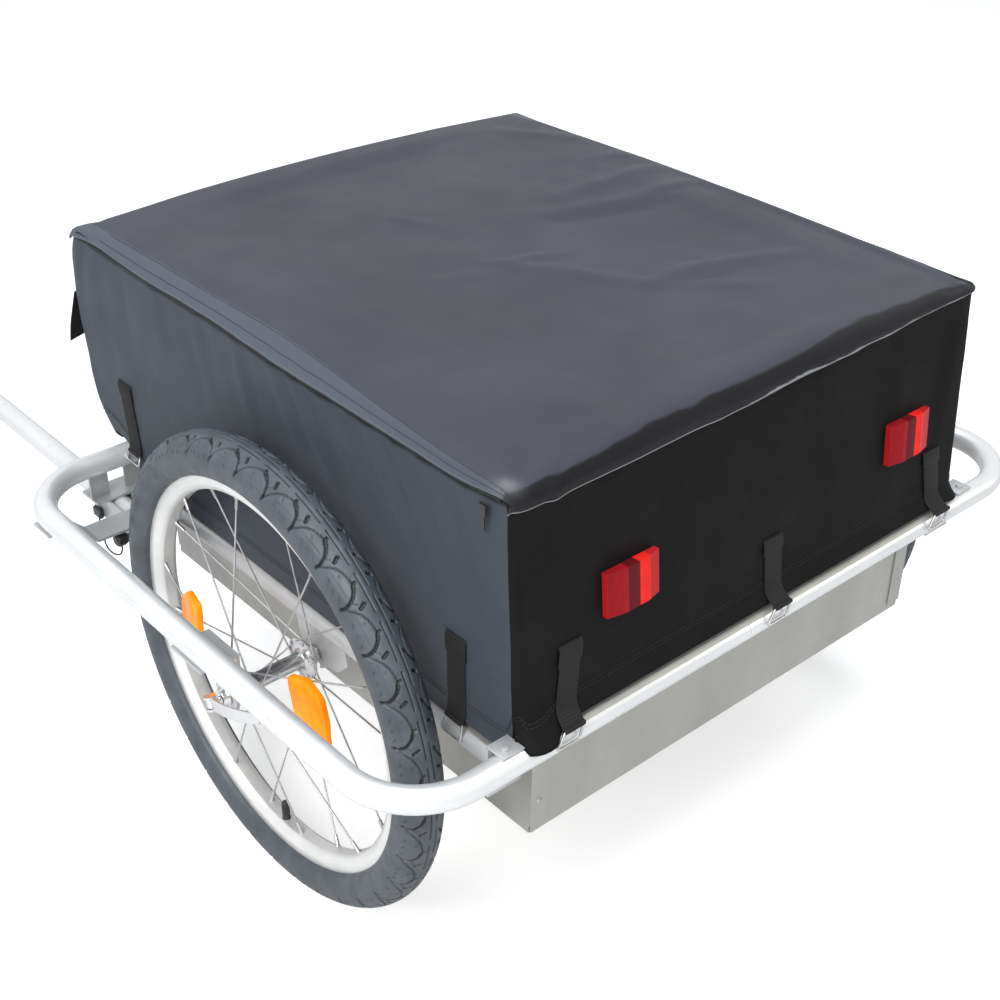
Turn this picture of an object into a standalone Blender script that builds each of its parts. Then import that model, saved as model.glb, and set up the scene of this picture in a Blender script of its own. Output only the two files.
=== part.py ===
"""Two-wheeled cargo trailer for a bicycle.

A bent tube loop runs round the outside of two spoked wheels and carries a sheet metal tub. A fabric
cover on two hoops stands on the tub, with a lid that is zipped on three sides. A tow arm under the
left corner ends in a hitch for the bicycle's rear axle.

Metres, +Z up, +Y towards the bicycle, +X to the trailer's right. The pieces are laid out from a
point on the ground under the axle, and an empty moves the whole trailer so that the origin is at
the middle of its footprint.
"""

from math import cos, hypot, pi, radians, sin, sqrt, tan

import bmesh
import bpy
from mathutils import Matrix, Vector

# Clearances
SEAT = 0.0003
RUNNING = 0.0005

# Overall
OVERALL_LENGTH = 1.700

# Wheels, for a 406 mm bead seat
WHEEL_RADIUS = 0.250
HALF_TRACK = 0.350
WHEEL_SEGMENTS = 32
TYRE_WIDTH = 0.047
TYRE_WALL = 0.0032
TREAD_THICKNESS = 0.0045
BEAD_RADIUS = 0.2032
BEAD_WIDTH = 0.003
RIM_WIDTH = 0.026
RIM_FLANGE = 0.0018
RIM_FLANGE_HEIGHT = 0.0063
RIM_DEPTH = 0.0107
RIM_WALL = 0.0055
SPOKES_PER_SIDE = 10
SPOKE_RADIUS = 0.0010
SPOKE_CROSS_ANGLE = radians(72)
SPOKE_FIRST_ANGLE = radians(27)
NIPPLE_RADIUS = 0.0020
NIPPLE_LENGTH = 0.011
RIM_SPOKE_OFFSET = 0.003
LACING_OFFSET = 0.0012
VALVE_RADIUS = 0.0038
VALVE_CAP_RADIUS = 0.0042
VALVE_CAP_LENGTH = 0.016
VALVE_REACH = 0.023

# Hubs, axles and quick-release levers
HUB_LENGTH = 0.100
FLANGE_RADIUS = 0.0225
FLANGE_OFFSET = 0.035
FLANGE_THICKNESS = 0.003
SPOKE_HOLE_RADIUS = 0.0190
BARREL_RADIUS = 0.0085
HUB_END_RADIUS = 0.0125
HUB_END = 0.043
AXLE_RADIUS = 0.0050
CONE_RADIUS = 0.0085
CONE_OVERLAP = 0.004
SKEWER_RADIUS = 0.0025
SKEWER_NUT_RADIUS = 0.0085
SKEWER_NUT_WIDTH = 0.010
SKEWER_CUP_RADIUS = 0.0105
SKEWER_CUP_MOUTH = 0.0080
SKEWER_CUP_WIDTH = 0.0072
CAM_RADIUS = 0.0048
CAM_HALF_LENGTH = 0.0045
CAM_REACH = 0.0162
LEVER_EAR_RADIUS = 0.0068
LEVER_LENGTH = 0.089
LEVER_WIDTH = 0.015
LEVER_TAPER = 0.25
LEVER_SLOPE = radians(21)

# Spoke reflectors
SPOKE_REFLECTOR_LENGTH = 0.074
SPOKE_REFLECTOR_WIDTH = 0.042
SPOKE_REFLECTOR_THICKNESS = 0.007
SPOKE_REFLECTOR_RADIUS = 0.107
SPOKE_REFLECTOR_CORNER = 0.010
SPOKE_REFLECTORS = (("rear", radians(166), 3), ("front", radians(6.5), 9))

# Tube loop round the wheels
TUBE_RADIUS = 0.0125
TUBE_WALL = 0.0015
LOOP_SIDE_CLEARANCE = 0.046
LOOP_REAR_CLEARANCE = 0.0495
LOOP_FRONT_CLEARANCE = 0.0845
LOOP_ABOVE_AXLE = 0.076
LOOP_BEND = 0.075
LOOP_JOINT_X = -0.028
SPIGOT_LENGTH = 0.030

# Side rails, brackets and dropouts
RAIL_RADIUS = 0.010
RAIL_ABOVE_AXLE = 0.046
RAIL_SETBACK = 0.0447
BRACKET_THICKNESS = 0.002
BRACKET_OUTSIDE_RAIL = 0.030
BRACKET_TAB_PAST_TUBE = 0.005
BRACKET_SCREW_RADIUS = 0.0045
DROPOUT_THICKNESS = 0.0036
DROPOUT_RADIUS = 0.018
OUTER_DROPOUT_HALF = 0.026
DROPOUT_FLANGE = 0.003

# Tub
TUB_INSIDE_RAIL = 0.028
TUB_REAR_SETBACK = 0.024
TUB_FRONT_SETBACK = 0.034
TUB_DEPTH = 0.140
SHEET = 0.0012
SIDE_FLANGE_OVERHANG = 0.0035
LIP_ANGLE = radians(45)
CORNER_TAB_WIDTH = 0.0195
CORNER_TAB_BOTTOM = 0.008
CORNER_TAB_HEIGHT = 0.083
CORNER_TAB_INSET = 0.0001
RIVET_HEIGHT = 0.028
RIVET_RADIUS = 0.0040
RIVET_HEAD = 0.0018

# Tow arm, its socket and the lock pin
ARM_OUTSIDE_RAIL = 0.025
ARM_RADIUS = 0.0125
ARM_BEND = 0.100
ARM_BEND_ANGLE = radians(55)
ARM_AFTER_BEND = 0.0143
ARM_BROUGHT_IN = 0.245
SOCKET_CLEARANCE = 0.012
SOCKET_PAST_LOOP = 0.025
SOCKET_WALL = 0.0025
ARM_PLATE_THICKNESS = 0.003
ARM_PLATE_DEPTH = 0.034
ARM_PLATE_LEFT_MARGIN = 0.014
ARM_PLATE_RIGHT_MARGIN = 0.020
ARM_PLATE_REAR_REACH = 0.013
ARM_PLATE_FRONT_REACH = 0.022
HANGER_TAB_WIDTH = 0.022
LOCK_PIN_RADIUS = 0.004
LOCK_PIN_SETBACK = 0.0095
LOCK_PIN_PAST_SOCKET = 0.005
LOCK_KNOB_GAP = 0.012
LOCK_KNOB_RADIUS = 0.008
LOCK_KNOB_LENGTH = 0.014
TETHER_RADIUS = 0.001
CLIP_LENGTH = 0.016
CLIP_HEIGHT = 0.012
CLIP_DEPTH = 0.006
CLIP_ROUND = 0.0015

# Hitch
YOKE_LENGTH = 0.032
YOKE_COLLAR = 0.0045
YOKE_CHEEK = 0.010
YOKE_EAR_RADIUS = 0.011
HITCH_PIN_RADIUS = 0.004
HITCH_PIN_HEAD = 0.002
SWIVEL_HALF_WIDTH = 0.009
SWIVEL_LENGTH = 0.019
PIN_SPACING = 0.023
EAR_THICKNESS = 0.004
COUPLER_EAR_RADIUS = 0.009
COUPLER_BRIDGE = 0.006
COUPLER_TAPER = 0.016
TONGUE_LENGTH = 0.0868
TONGUE_HALF_HEIGHT = 0.016
TONGUE_THICKNESS = 0.005
BIKE_AXLE_RADIUS = 0.0053

# Cover
COVER_HEIGHT = 0.2452
COVER_OUTSIDE_RAIL = 0.0032
COVER_SIDE_LEAN = 0.0033
COVER_TOP_REAR = 0.021
COVER_TOP_FRONT = 0.0445
COVER_BOTTOM_FRONT = 0.0165
COVER_CORNER = 0.020
COVER_FRONT_SWELL = ((0.33, 0.017), (0.68, 0.0255))
FABRIC = 0.002
HEM_RADIUS = 0.019
HEM_RAMP = 0.010
LID_OVERHANG = 0.003
LID_SKIRT = 0.0172
LID_SIDE_FLARE = 0.0009
LID_REAR_FLARE = 0.003
LID_GAP = 0.0005
HOOP_RADIUS = 0.006
HOOP_WALL = 0.001
HOOP_INSIDE_COVER = 0.0167
HOOP_INSET = 0.002
HOOP_FOOT_GAP = 0.0035
HOOP_BEND = 0.030
TOP_BAR_RADIUS = 0.005
TOP_BAR_INSIDE_HOOP = 0.0365

# Straps, tail reflectors and zip sliders
STRAP_WIDTH = 0.022
STRAP_THICKNESS = 0.0016
STRAP_LOOP_RADIUS = 0.0024
STRAP_LENGTH = 0.060
SIDE_STRAP_LENGTH = 0.085
RING_WIRE = 0.0013
REAR_STRAP_LEFT_INSET = 0.0552
REAR_STRAP_CENTRE = 0.008
REAR_STRAP_RIGHT_INSET = 0.0482
SIDE_STRAP_REAR_SETBACK = 0.092
SIDE_STRAP_FRONT_SETBACK = 0.017
SIDE_STRAP_BEND = 0.022
SIDE_STRAP_LIFT = 0.0075
TAIL_REFLECTOR_WIDTH = 0.062
TAIL_REFLECTOR_HEIGHT = 0.043
TAIL_REFLECTOR_DEPTH = 0.010
TAIL_REFLECTOR_ABOVE_LOOP = 0.118
TAIL_REFLECTOR_LEFT_INSET = 0.1242
TAIL_REFLECTOR_RIGHT_INSET = 0.0977
ZIP_SLIDER_LENGTH = 0.008
ZIP_SLIDER_HEIGHT = 0.010
ZIP_SLIDER_DEPTH = 0.0028
ZIP_PULL_WIDTH = 0.004
ZIP_PULL_LENGTH = 0.014
ZIP_PULL_THICKNESS = 0.0012
ZIP_FROM_CORNER = 0.006

# Places worked out from the sizes above
AXLE_Z = WHEEL_RADIUS
LOOP_Z = AXLE_Z + LOOP_ABOVE_AXLE
LOOP_X = HALF_TRACK + TYRE_WIDTH / 2 + LOOP_SIDE_CLEARANCE + TUBE_RADIUS
LOOP_REAR = -(WHEEL_RADIUS + LOOP_REAR_CLEARANCE + TUBE_RADIUS)
LOOP_FRONT = WHEEL_RADIUS + LOOP_FRONT_CLEARANCE + TUBE_RADIUS
LOOP_TOP = LOOP_Z + TUBE_RADIUS
LOOP_BOTTOM = LOOP_Z - TUBE_RADIUS
RAIL_X = HALF_TRACK - HUB_LENGTH / 2
RAIL_Z = AXLE_Z + RAIL_ABOVE_AXLE
RAIL_TOP = RAIL_Z + RAIL_RADIUS
RAIL_BOTTOM = RAIL_Z - RAIL_RADIUS
RAIL_REAR = LOOP_REAR + RAIL_SETBACK
RAIL_FRONT = LOOP_FRONT - RAIL_SETBACK
BRACKET_OUTER_X = RAIL_X + BRACKET_OUTSIDE_RAIL
TUB_HALF_WIDTH = RAIL_X - TUB_INSIDE_RAIL
TUB_REAR = LOOP_REAR + TUB_REAR_SETBACK
TUB_FRONT = LOOP_FRONT - TUB_FRONT_SETBACK
TUB_BOTTOM = LOOP_TOP + SEAT - TUB_DEPTH
FLANGE_Z = RAIL_TOP + SEAT
FLANGE_X = RAIL_X + SIDE_FLANGE_OVERHANG
RIM_INNER_RADIUS = BEAD_RADIUS - RIM_DEPTH
ARM_X = -(RAIL_X + ARM_OUTSIDE_RAIL)
HITCH_X = ARM_X + ARM_BROUGHT_IN
COVER_BOTTOM_HALF_WIDTH = RAIL_X + COVER_OUTSIDE_RAIL
COVER_TOP_HALF_WIDTH = COVER_BOTTOM_HALF_WIDTH + COVER_SIDE_LEAN
HOOP_HALF_WIDTH = COVER_BOTTOM_HALF_WIDTH - HOOP_INSIDE_COVER
TOP_BAR_X = HOOP_HALF_WIDTH - TOP_BAR_INSIDE_HOOP
COVER_TOP = LOOP_Z + COVER_HEIGHT - SEAT
COVER_SHOULDER = LOOP_Z + HEM_RADIUS + 0.002
COVER_REAR = LOOP_REAR - 0.0005
COVER_FRONT = LOOP_FRONT + COVER_BOTTOM_FRONT
HEM_SIDE_Z = FLANGE_Z + SHEET + SEAT
LID_BOTTOM = LOOP_Z + COVER_HEIGHT
LID_FRONT = LOOP_FRONT + COVER_TOP_FRONT + LID_GAP
REAR_STRAPS = (
    ("strap_rear_left", REAR_STRAP_LEFT_INSET - COVER_BOTTOM_HALF_WIDTH),
    ("strap_rear_centre", REAR_STRAP_CENTRE),
    ("strap_rear_right", COVER_BOTTOM_HALF_WIDTH - REAR_STRAP_RIGHT_INSET),
)
TAIL_REFLECTORS = (
    ("tail_reflector_left", TAIL_REFLECTOR_LEFT_INSET - COVER_BOTTOM_HALF_WIDTH),
    ("tail_reflector_right", COVER_BOTTOM_HALF_WIDTH - TAIL_REFLECTOR_RIGHT_INSET),
)
STRAP_END_RADIUS = HEM_RADIUS + STRAP_LOOP_RADIUS + 2 * SEAT
REAR_EXTREME = LOOP_REAR - STRAP_END_RADIUS * cos(radians(30)) - STRAP_LOOP_RADIUS
TIP_Y = REAR_EXTREME + OVERALL_LENGTH
ORIGIN_SHIFT = -(REAR_EXTREME + TIP_Y) / 2

PARTS = "bike_cargo_trailer"
CUTTERS = "cutters"


def clear_scene():
    """Start from an empty scene with one collection for the parts and one for the cutters."""
    for obj in list(bpy.data.objects):
        bpy.data.objects.remove(obj, do_unlink=True)
    for name in (PARTS, CUTTERS):
        group = bpy.data.collections.new(name)
        bpy.context.scene.collection.children.link(group)


def empty(name, location, parent=None):
    """An axis or frame that pieces hang from."""
    obj = bpy.data.objects.new(name, None)
    obj.location = location
    obj.parent = parent
    bpy.data.collections[PARTS].objects.link(obj)
    return obj


clear_scene()
ROOT = empty("trailer_origin", (0, ORIGIN_SHIFT, 0))


def finish(name, colour, roughness, metallic):
    """A Principled material."""
    material = bpy.data.materials.new(name)
    material.use_nodes = True
    shader = material.node_tree.nodes["Principled BSDF"]
    shader.inputs["Base Color"].default_value = (*colour, 1)
    shader.inputs["Roughness"].default_value = roughness
    shader.inputs["Metallic"].default_value = metallic
    return material


SILVER = finish("silver_powder_coat", (0.62, 0.64, 0.66), 0.35, 0.6)
SHEET_METAL = finish("silver_sheet", (0.55, 0.56, 0.56), 0.45, 0.5)
ALLOY = finish("rim_alloy", (0.78, 0.79, 0.80), 0.35, 0.8)
STEEL = finish("bright_steel", (0.65, 0.65, 0.66), 0.25, 1.0)
RUBBER = finish("tyre_rubber", (0.045, 0.047, 0.05), 0.75, 0.0)
BLACK = finish("black_plastic", (0.02, 0.02, 0.02), 0.5, 0.0)
FABRIC_BLACK = finish("coated_fabric", (0.035, 0.037, 0.045), 0.6, 0.0)
WEBBING = finish("webbing", (0.02, 0.02, 0.022), 0.8, 0.0)
AMBER = finish("amber_reflector", (0.9, 0.32, 0.02), 0.2, 0.0)
RED = finish("red_reflector", (0.6, 0.02, 0.02), 0.2, 0.0)


def add(name, data, material=None, parent=None):
    """Put a new object in the parts, or in the cutters where it has no material."""
    obj = bpy.data.objects.new(name, data)
    obj.parent = parent or ROOT
    if material:
        data.materials.append(material)
        bpy.data.collections[PARTS].objects.link(obj)
    else:
        obj.hide_render = True
        obj.display_type = "WIRE"
        bpy.data.collections[CUTTERS].objects.link(obj)
    return obj


def mesh_of(name, bm):
    """Close a bmesh into a mesh with its faces pointing out."""
    bmesh.ops.recalc_face_normals(bm, faces=bm.faces)
    mesh = bpy.data.meshes.new(name)
    bm.to_mesh(mesh)
    bm.free()
    return mesh


def smooth(mesh):
    """Shade a mesh smooth except over its real edges."""
    mesh.shade_smooth()
    mesh.set_sharp_from_angle(angle=radians(40))


def block(name, low, high, material=None, parent=None):
    """A rectangular block between two corners."""
    bm = bmesh.new()
    bmesh.ops.create_cube(bm, size=1)
    size = Vector(high) - Vector(low)
    middle = (Vector(high) + Vector(low)) / 2
    bmesh.ops.transform(bm, matrix=Matrix.Translation(middle) @ Matrix.Diagonal((*size, 1)), verts=bm.verts)
    return add(name, mesh_of(name, bm), material, parent)


def rod(name, start, end, radius, sides, material=None, parent=None, end_radius=None):
    """A straight round bar, or a taper, between two points."""
    start, end = Vector(start), Vector(end)
    turn = (end - start).to_track_quat("Z", "Y").to_matrix().to_4x4()
    bm = bmesh.new()
    bmesh.ops.create_cone(
        bm,
        cap_ends=True,
        segments=sides,
        radius1=radius,
        radius2=radius if end_radius is None else end_radius,
        depth=(end - start).length,
        matrix=Matrix.Translation((start + end) / 2) @ turn,
    )
    mesh = mesh_of(name, bm)
    smooth(mesh)
    return add(name, mesh, material, parent)


def evaluated_mesh(obj):
    """The mesh of an object with its modifiers or curve settings applied, caps welded."""
    depsgraph = bpy.context.evaluated_depsgraph_get()
    mesh = bpy.data.meshes.new_from_object(obj.evaluated_get(depsgraph))
    bm = bmesh.new()
    bm.from_mesh(mesh)
    bmesh.ops.remove_doubles(bm, verts=bm.verts, dist=1e-6)
    bm.to_mesh(mesh)
    bm.free()
    return mesh


def curve_solid(name, curve, material, parent, place=None):
    """Turn a curve into a welded mesh object in the same place."""
    guide = bpy.data.objects.new(name + "_curve", curve)
    bpy.data.collections[CUTTERS].objects.link(guide)
    bpy.context.view_layer.update()
    mesh = evaluated_mesh(guide)
    bpy.data.objects.remove(guide, do_unlink=True)
    if place is not None:
        mesh.transform(place)
    mesh.name = name
    mesh.materials.clear()
    smooth(mesh)
    return add(name, mesh, material, parent)


def wire(name, points, radius, resolution, material=None, parent=None, cyclic=False, caps=True, radii=None):
    """A round wire or tube skin along a line of points."""
    curve = bpy.data.curves.new(name, "CURVE")
    curve.dimensions = "3D"
    curve.bevel_depth = radius
    curve.bevel_resolution = resolution
    curve.use_fill_caps = caps and not cyclic
    spline = curve.splines.new("POLY")
    spline.points.add(len(points) - 1)
    spline.use_cyclic_u = cyclic
    for i, point in enumerate(points):
        spline.points[i].co = (*point, 1)
        spline.points[i].radius = radii[i] if radii else 1
    return curve_solid(name, curve, material, parent)


def hollow_tube(name, points, radius, wall, resolution, material, radii=None):
    """An open-ended tube with a wall, along a line of points."""
    obj = wire(name, points, radius, resolution, material, caps=False, radii=radii)
    shell = obj.modifiers.new("wall", "SOLIDIFY")
    shell.thickness = wall
    shell.offset = -1
    return obj


def bent(corners, radius, steps):
    """The line through some corners, each rounded by an arc of the given radius."""
    corners = [Vector(c) for c in corners]
    line = [corners[0]]
    for before, corner, after in zip(corners, corners[1:], corners[2:]):
        back = (before - corner).normalized()
        ahead = (after - corner).normalized()
        half = back.angle(ahead) / 2
        reach = radius / tan(half)
        centre = corner + (back + ahead).normalized() * (radius / sin(half))
        first = corner + back * reach - centre
        last = corner + ahead * reach - centre
        sweep = first.angle(last)
        for i in range(steps + 1):
            share = i / steps
            arm = (first * sin((1 - share) * sweep) + last * sin(share * sweep)) / sin(sweep)
            line.append(centre + arm)
    line.append(corners[-1])
    return line


def turned(name, profile, segments, material=None, parent=None, place=None, closed=True):
    """A solid of revolution about local Z. The profile of (radius, height) runs down its outer side."""
    mesh = bpy.data.meshes.new(name)
    count = len(profile)
    edges = [(i, i + 1) for i in range(count - 1)]
    if closed:
        edges.append((count - 1, 0))
    mesh.from_pydata([(r, 0, h) for r, h in profile], edges, [])
    obj = add(name, mesh, material, parent)
    if place is not None:
        obj.matrix_local = place
    screw = obj.modifiers.new("turn", "SCREW")
    screw.axis = "Z"
    screw.angle = 2 * pi
    screw.steps = segments
    screw.render_steps = segments
    screw.use_merge_vertices = True
    screw.merge_threshold = 0.00001
    return obj


def plate(name, outlines, thickness, place, material=None, parent=None):
    """A flat plate cut to an outline, with any holes as further outlines, lying on the place's XY."""
    curve = bpy.data.curves.new(name, "CURVE")
    curve.dimensions = "2D"
    curve.fill_mode = "BOTH"
    curve.extrude = thickness / 2
    for outline in outlines:
        spline = curve.splines.new("POLY")
        spline.points.add(len(outline) - 1)
        spline.use_cyclic_u = True
        for point, (u, v) in zip(spline.points, outline):
            point.co = (u, v, 0, 1)
    return curve_solid(name, curve, material, parent, place)


def arc(centre, radius, start, end, steps):
    """Points on a circle, from one angle to another."""
    angles = [start + (end - start) * i / steps for i in range(steps + 1)]
    return [(centre[0] + radius * cos(a), centre[1] + radius * sin(a)) for a in angles]


def rounded_rectangle(width, height, radius, steps):
    """A rectangle's outline with round corners, about its middle."""
    u, v = width / 2 - radius, height / 2 - radius
    points = []
    for i, centre in enumerate(((u, v), (-u, v), (-u, -v), (u, -v))):
        points += arc(centre, radius, i * pi / 2, (i + 1) * pi / 2, steps)
    return points


def folded_sheet(name, path, start, end, axis, thickness, material=None):
    """A sheet folded along a path in the plane across an axis, and drawn out along that axis."""
    bm = bmesh.new()
    for along in (start, end):
        for u, v in path:
            bm.verts.new((along, u, v) if axis == "X" else (u, along, v))
    bm.verts.ensure_lookup_table()
    count = len(path)
    for i in range(count - 1):
        bm.faces.new([bm.verts[k] for k in (i, i + 1, count + i + 1, count + i)])
    mesh = bpy.data.meshes.new(name)
    bm.to_mesh(mesh)
    bm.free()
    obj = add(name, mesh, material)
    shell = obj.modifiers.new("sheet", "SOLIDIFY")
    shell.thickness = thickness
    shell.offset = 0
    shell.use_even_offset = True
    return obj


def combine(obj, operation, others):
    """Cut other solids out of an object, or join them to it."""
    for other in others:
        boolean = obj.modifiers.new(operation.lower(), "BOOLEAN")
        boolean.operation = operation
        boolean.solver = "EXACT"
        boolean.object = other
    return obj


def cut(obj, *others):
    return combine(obj, "DIFFERENCE", others)


def join(obj, *others):
    return combine(obj, "UNION", others)


def frame_matrix(origin, x, y, z):
    """The matrix that stands local axes on three directions at an origin."""
    turn = Matrix((Vector(x), Vector(y), Vector(z))).transposed().to_4x4()
    return Matrix.Translation(origin) @ turn


ALONG_X = Matrix.Rotation(pi / 2, 4, "Y")
LEVER_WAY = Vector((0, -cos(LEVER_SLOPE), sin(LEVER_SLOPE)))
CAM_WAY = Vector((0, sin(LEVER_SLOPE), cos(LEVER_SLOPE)))
FACING_X = ((0, 1, 0), (0, 0, 1), (1, 0, 0))


# Wheels

def tyre_profile():
    """The tyre's horseshoe section, open at the beads."""
    middle = (BEAD_RADIUS + WHEEL_RADIUS) / 2
    half = TYRE_WIDTH / 2
    tall = WHEEL_RADIUS - middle
    bead = RIM_WIDTH / 2 - RIM_FLANGE - SEAT
    foot = BEAD_RADIUS + SEAT
    over_flange = BEAD_RADIUS + RIM_FLANGE_HEIGHT + 2 * SEAT
    outer_steps = 6
    inner_steps = 3
    outer_angle = radians(44)
    inner_angle = radians(25)
    knee = (over_flange + TYRE_WALL, bead - BEAD_WIDTH + 0.0015)
    section = [(over_flange, bead)]
    for i in range(outer_steps + 1):
        a = -outer_angle + (pi + 2 * outer_angle) * i / outer_steps
        section.append((middle + tall * sin(a), half * cos(a)))
    section += [(over_flange, -bead), (foot, -bead), (foot, BEAD_WIDTH - bead), (knee[0], -knee[1])]
    for i in range(inner_steps + 1):
        a = pi + inner_angle - (pi + 2 * inner_angle) * i / inner_steps
        section.append((middle + (tall - TREAD_THICKNESS) * sin(a), (half - TYRE_WALL) * cos(a)))
    section += [knee, (foot, bead - BEAD_WIDTH), (foot, bead)]
    return section


def rim_profile():
    """A single-wall rim: two flanges, bead seats and a well, rounded on its inner side."""
    half = RIM_WIDTH / 2
    seat = half - RIM_FLANGE
    top = BEAD_RADIUS + RIM_FLANGE_HEIGHT
    well = RIM_INNER_RADIUS + RIM_WALL
    groove = [(top, half), (top, seat), (BEAD_RADIUS, seat), (well, seat * 0.55)]
    skin = [(RIM_INNER_RADIUS, half * 0.45), (BEAD_RADIUS - 0.003, half)]
    far_groove = [(r, -h) for r, h in reversed(groove)]
    far_skin = [(r, -h) for r, h in reversed(skin)]
    return groove + far_groove + far_skin + skin


def spoke_line(side, index, outboard):
    """The two ends of a spoke, from its hole in the hub flange to its nipple's seat in the rim.

    The outboard flange's spokes come between the other flange's, and one layer of each flange trails.
    """
    rim_angle = SPOKE_FIRST_ANGLE + 2 * pi * index / SPOKES_PER_SIDE
    if side == outboard:
        rim_angle += pi / SPOKES_PER_SIDE
    leading = 1 if index % 2 == 0 else -1
    hub_angle = rim_angle + leading * SPOKE_CROSS_ANGLE
    layer = FLANGE_THICKNESS / 2 + SEAT
    hub_x = side * FLANGE_OFFSET - leading * outboard * layer
    rim_x = side * RIM_SPOKE_OFFSET - leading * outboard * LACING_OFFSET
    rim_radius = RIM_INNER_RADIUS * cos(pi / WHEEL_SEGMENTS) - 2 * SEAT
    hub_end = Vector((hub_x, SPOKE_HOLE_RADIUS * cos(hub_angle), SPOKE_HOLE_RADIUS * sin(hub_angle)))
    rim_end = Vector((rim_x, rim_radius * cos(rim_angle), rim_radius * sin(rim_angle)))
    return hub_end, rim_end


def hub_profile():
    """The hub shell: cups at the ends, two flanges and a slim barrel."""
    cup = CONE_RADIUS + RUNNING
    cup_floor = HUB_END - 0.0045
    bore = AXLE_RADIUS + RUNNING + SEAT
    inner_face = FLANGE_OFFSET - FLANGE_THICKNESS / 2
    outer_face = FLANGE_OFFSET + FLANGE_THICKNESS / 2
    upper = [
        (cup, HUB_END),
        (HUB_END_RADIUS, HUB_END),
        (FLANGE_RADIUS, outer_face),
        (FLANGE_RADIUS, inner_face),
        (BARREL_RADIUS, inner_face - 0.002),
    ]
    lower = [(r, -h) for r, h in reversed(upper)]
    inside = [(cup, -cup_floor), (bore, -cup_floor), (bore, cup_floor), (cup, cup_floor)]
    return upper + lower + inside


def make_spoke(name, ends, parent):
    hub_end, rim_end = ends
    along = (rim_end - hub_end).normalized()
    neck = rim_end - along * NIPPLE_LENGTH
    swell = NIPPLE_RADIUS / SPOKE_RADIUS
    return wire(name, [hub_end, neck, rim_end], SPOKE_RADIUS, 1, parent=parent, radii=[1, 1, swell])


def make_spoke_reflector(name, outboard, angle, index, parent):
    """A reflector clipped flat along one of the outboard flange's outer spokes."""
    hub_end, rim_end = spoke_line(outboard, index, outboard)
    along = (rim_end - hub_end).normalized()
    share = 0
    while hypot(*hub_end.lerp(rim_end, share).yz) < SPOKE_REFLECTOR_RADIUS:
        share += 0.001
    on_spoke = hub_end.lerp(rim_end, share)
    radial = Vector((0, cos(angle), sin(angle)))
    tangent = Vector((0, -sin(angle), cos(angle)))
    outward = along.cross(tangent).normalized()
    if outward.x * outboard < 0:
        outward = -outward
    upright = (along - tangent * along.dot(tangent)).normalized()
    lengthwise = upright.cross(outward)
    middle = on_spoke + outward * (SPOKE_RADIUS + SEAT + SPOKE_REFLECTOR_THICKNESS / 2)
    middle += tangent * (radial * SPOKE_REFLECTOR_RADIUS - on_spoke).dot(tangent)
    place = frame_matrix(middle, lengthwise, upright, outward)
    outline = rounded_rectangle(SPOKE_REFLECTOR_LENGTH, SPOKE_REFLECTOR_WIDTH, SPOKE_REFLECTOR_CORNER, 3)
    return plate(name, [outline], SPOKE_REFLECTOR_THICKNESS, place, AMBER, parent)


def make_wheel(side_name, outboard):
    """One wheel with everything that turns with it."""
    axis = empty(f"wheel_{side_name}_axis", (outboard * HALF_TRACK, 0, AXLE_Z), ROOT)
    turned(f"tyre_{side_name}", tyre_profile(), WHEEL_SEGMENTS, RUBBER, axis, ALONG_X)
    rim = turned(f"rim_{side_name}", rim_profile(), WHEEL_SEGMENTS, ALLOY, axis, ALONG_X)
    inside_rim = RIM_INNER_RADIUS - 0.01
    hole = rod(
        f"valve_hole_{side_name}",
        (0, 0, -BEAD_RADIUS),
        (0, 0, -inside_rim),
        VALVE_RADIUS + RUNNING,
        12,
        parent=axis,
    )
    cut(rim, hole)
    hub = turned(f"hub_and_spokes_{side_name}", hub_profile(), 16, STEEL, axis, ALONG_X)
    for side in (-1, 1):
        for index in range(SPOKES_PER_SIDE):
            join(hub, make_spoke(f"spoke_{side_name}", spoke_line(side, index, outboard), axis))
    cap_start = RIM_INNER_RADIUS - VALVE_REACH
    cap_end = cap_start + VALVE_CAP_LENGTH
    stem_top = BEAD_RADIUS - 0.003
    stem = [
        (0, stem_top),
        (VALVE_RADIUS, stem_top),
        (VALVE_RADIUS, cap_end),
        (VALVE_CAP_RADIUS, cap_end),
        (VALVE_CAP_RADIUS, cap_start + 0.002),
        (VALVE_CAP_RADIUS * 0.6, cap_start),
        (0, cap_start),
    ]
    down = Matrix.Rotation(pi, 4, "X")
    turned(f"valve_{side_name}", stem, 10, BLACK, axis, down, closed=False)
    for tag, angle, index in SPOKE_REFLECTORS:
        make_spoke_reflector(f"spoke_reflector_{side_name}_{tag}", outboard, angle, index, axis)
    return axis


def make_axle(side_name, outboard):
    """The fixed axle with its cones and locknuts."""
    axis = empty(f"axle_{side_name}_line", (outboard * HALF_TRACK, 0, AXLE_Z), ROOT)
    locknut = HUB_LENGTH / 2
    end = locknut + DROPOUT_THICKNESS
    cone_face = HUB_END - CONE_OVERLAP
    bore = SKEWER_RADIUS + SEAT
    upper = [
        (bore, end),
        (AXLE_RADIUS, end),
        (AXLE_RADIUS, locknut),
        (CONE_RADIUS, locknut),
        (CONE_RADIUS, cone_face),
        (AXLE_RADIUS, cone_face),
    ]
    profile = upper + [(r, -h) for r, h in reversed(upper)]
    turned(f"axle_{side_name}", profile, 12, STEEL, axis, ALONG_X)


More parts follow.
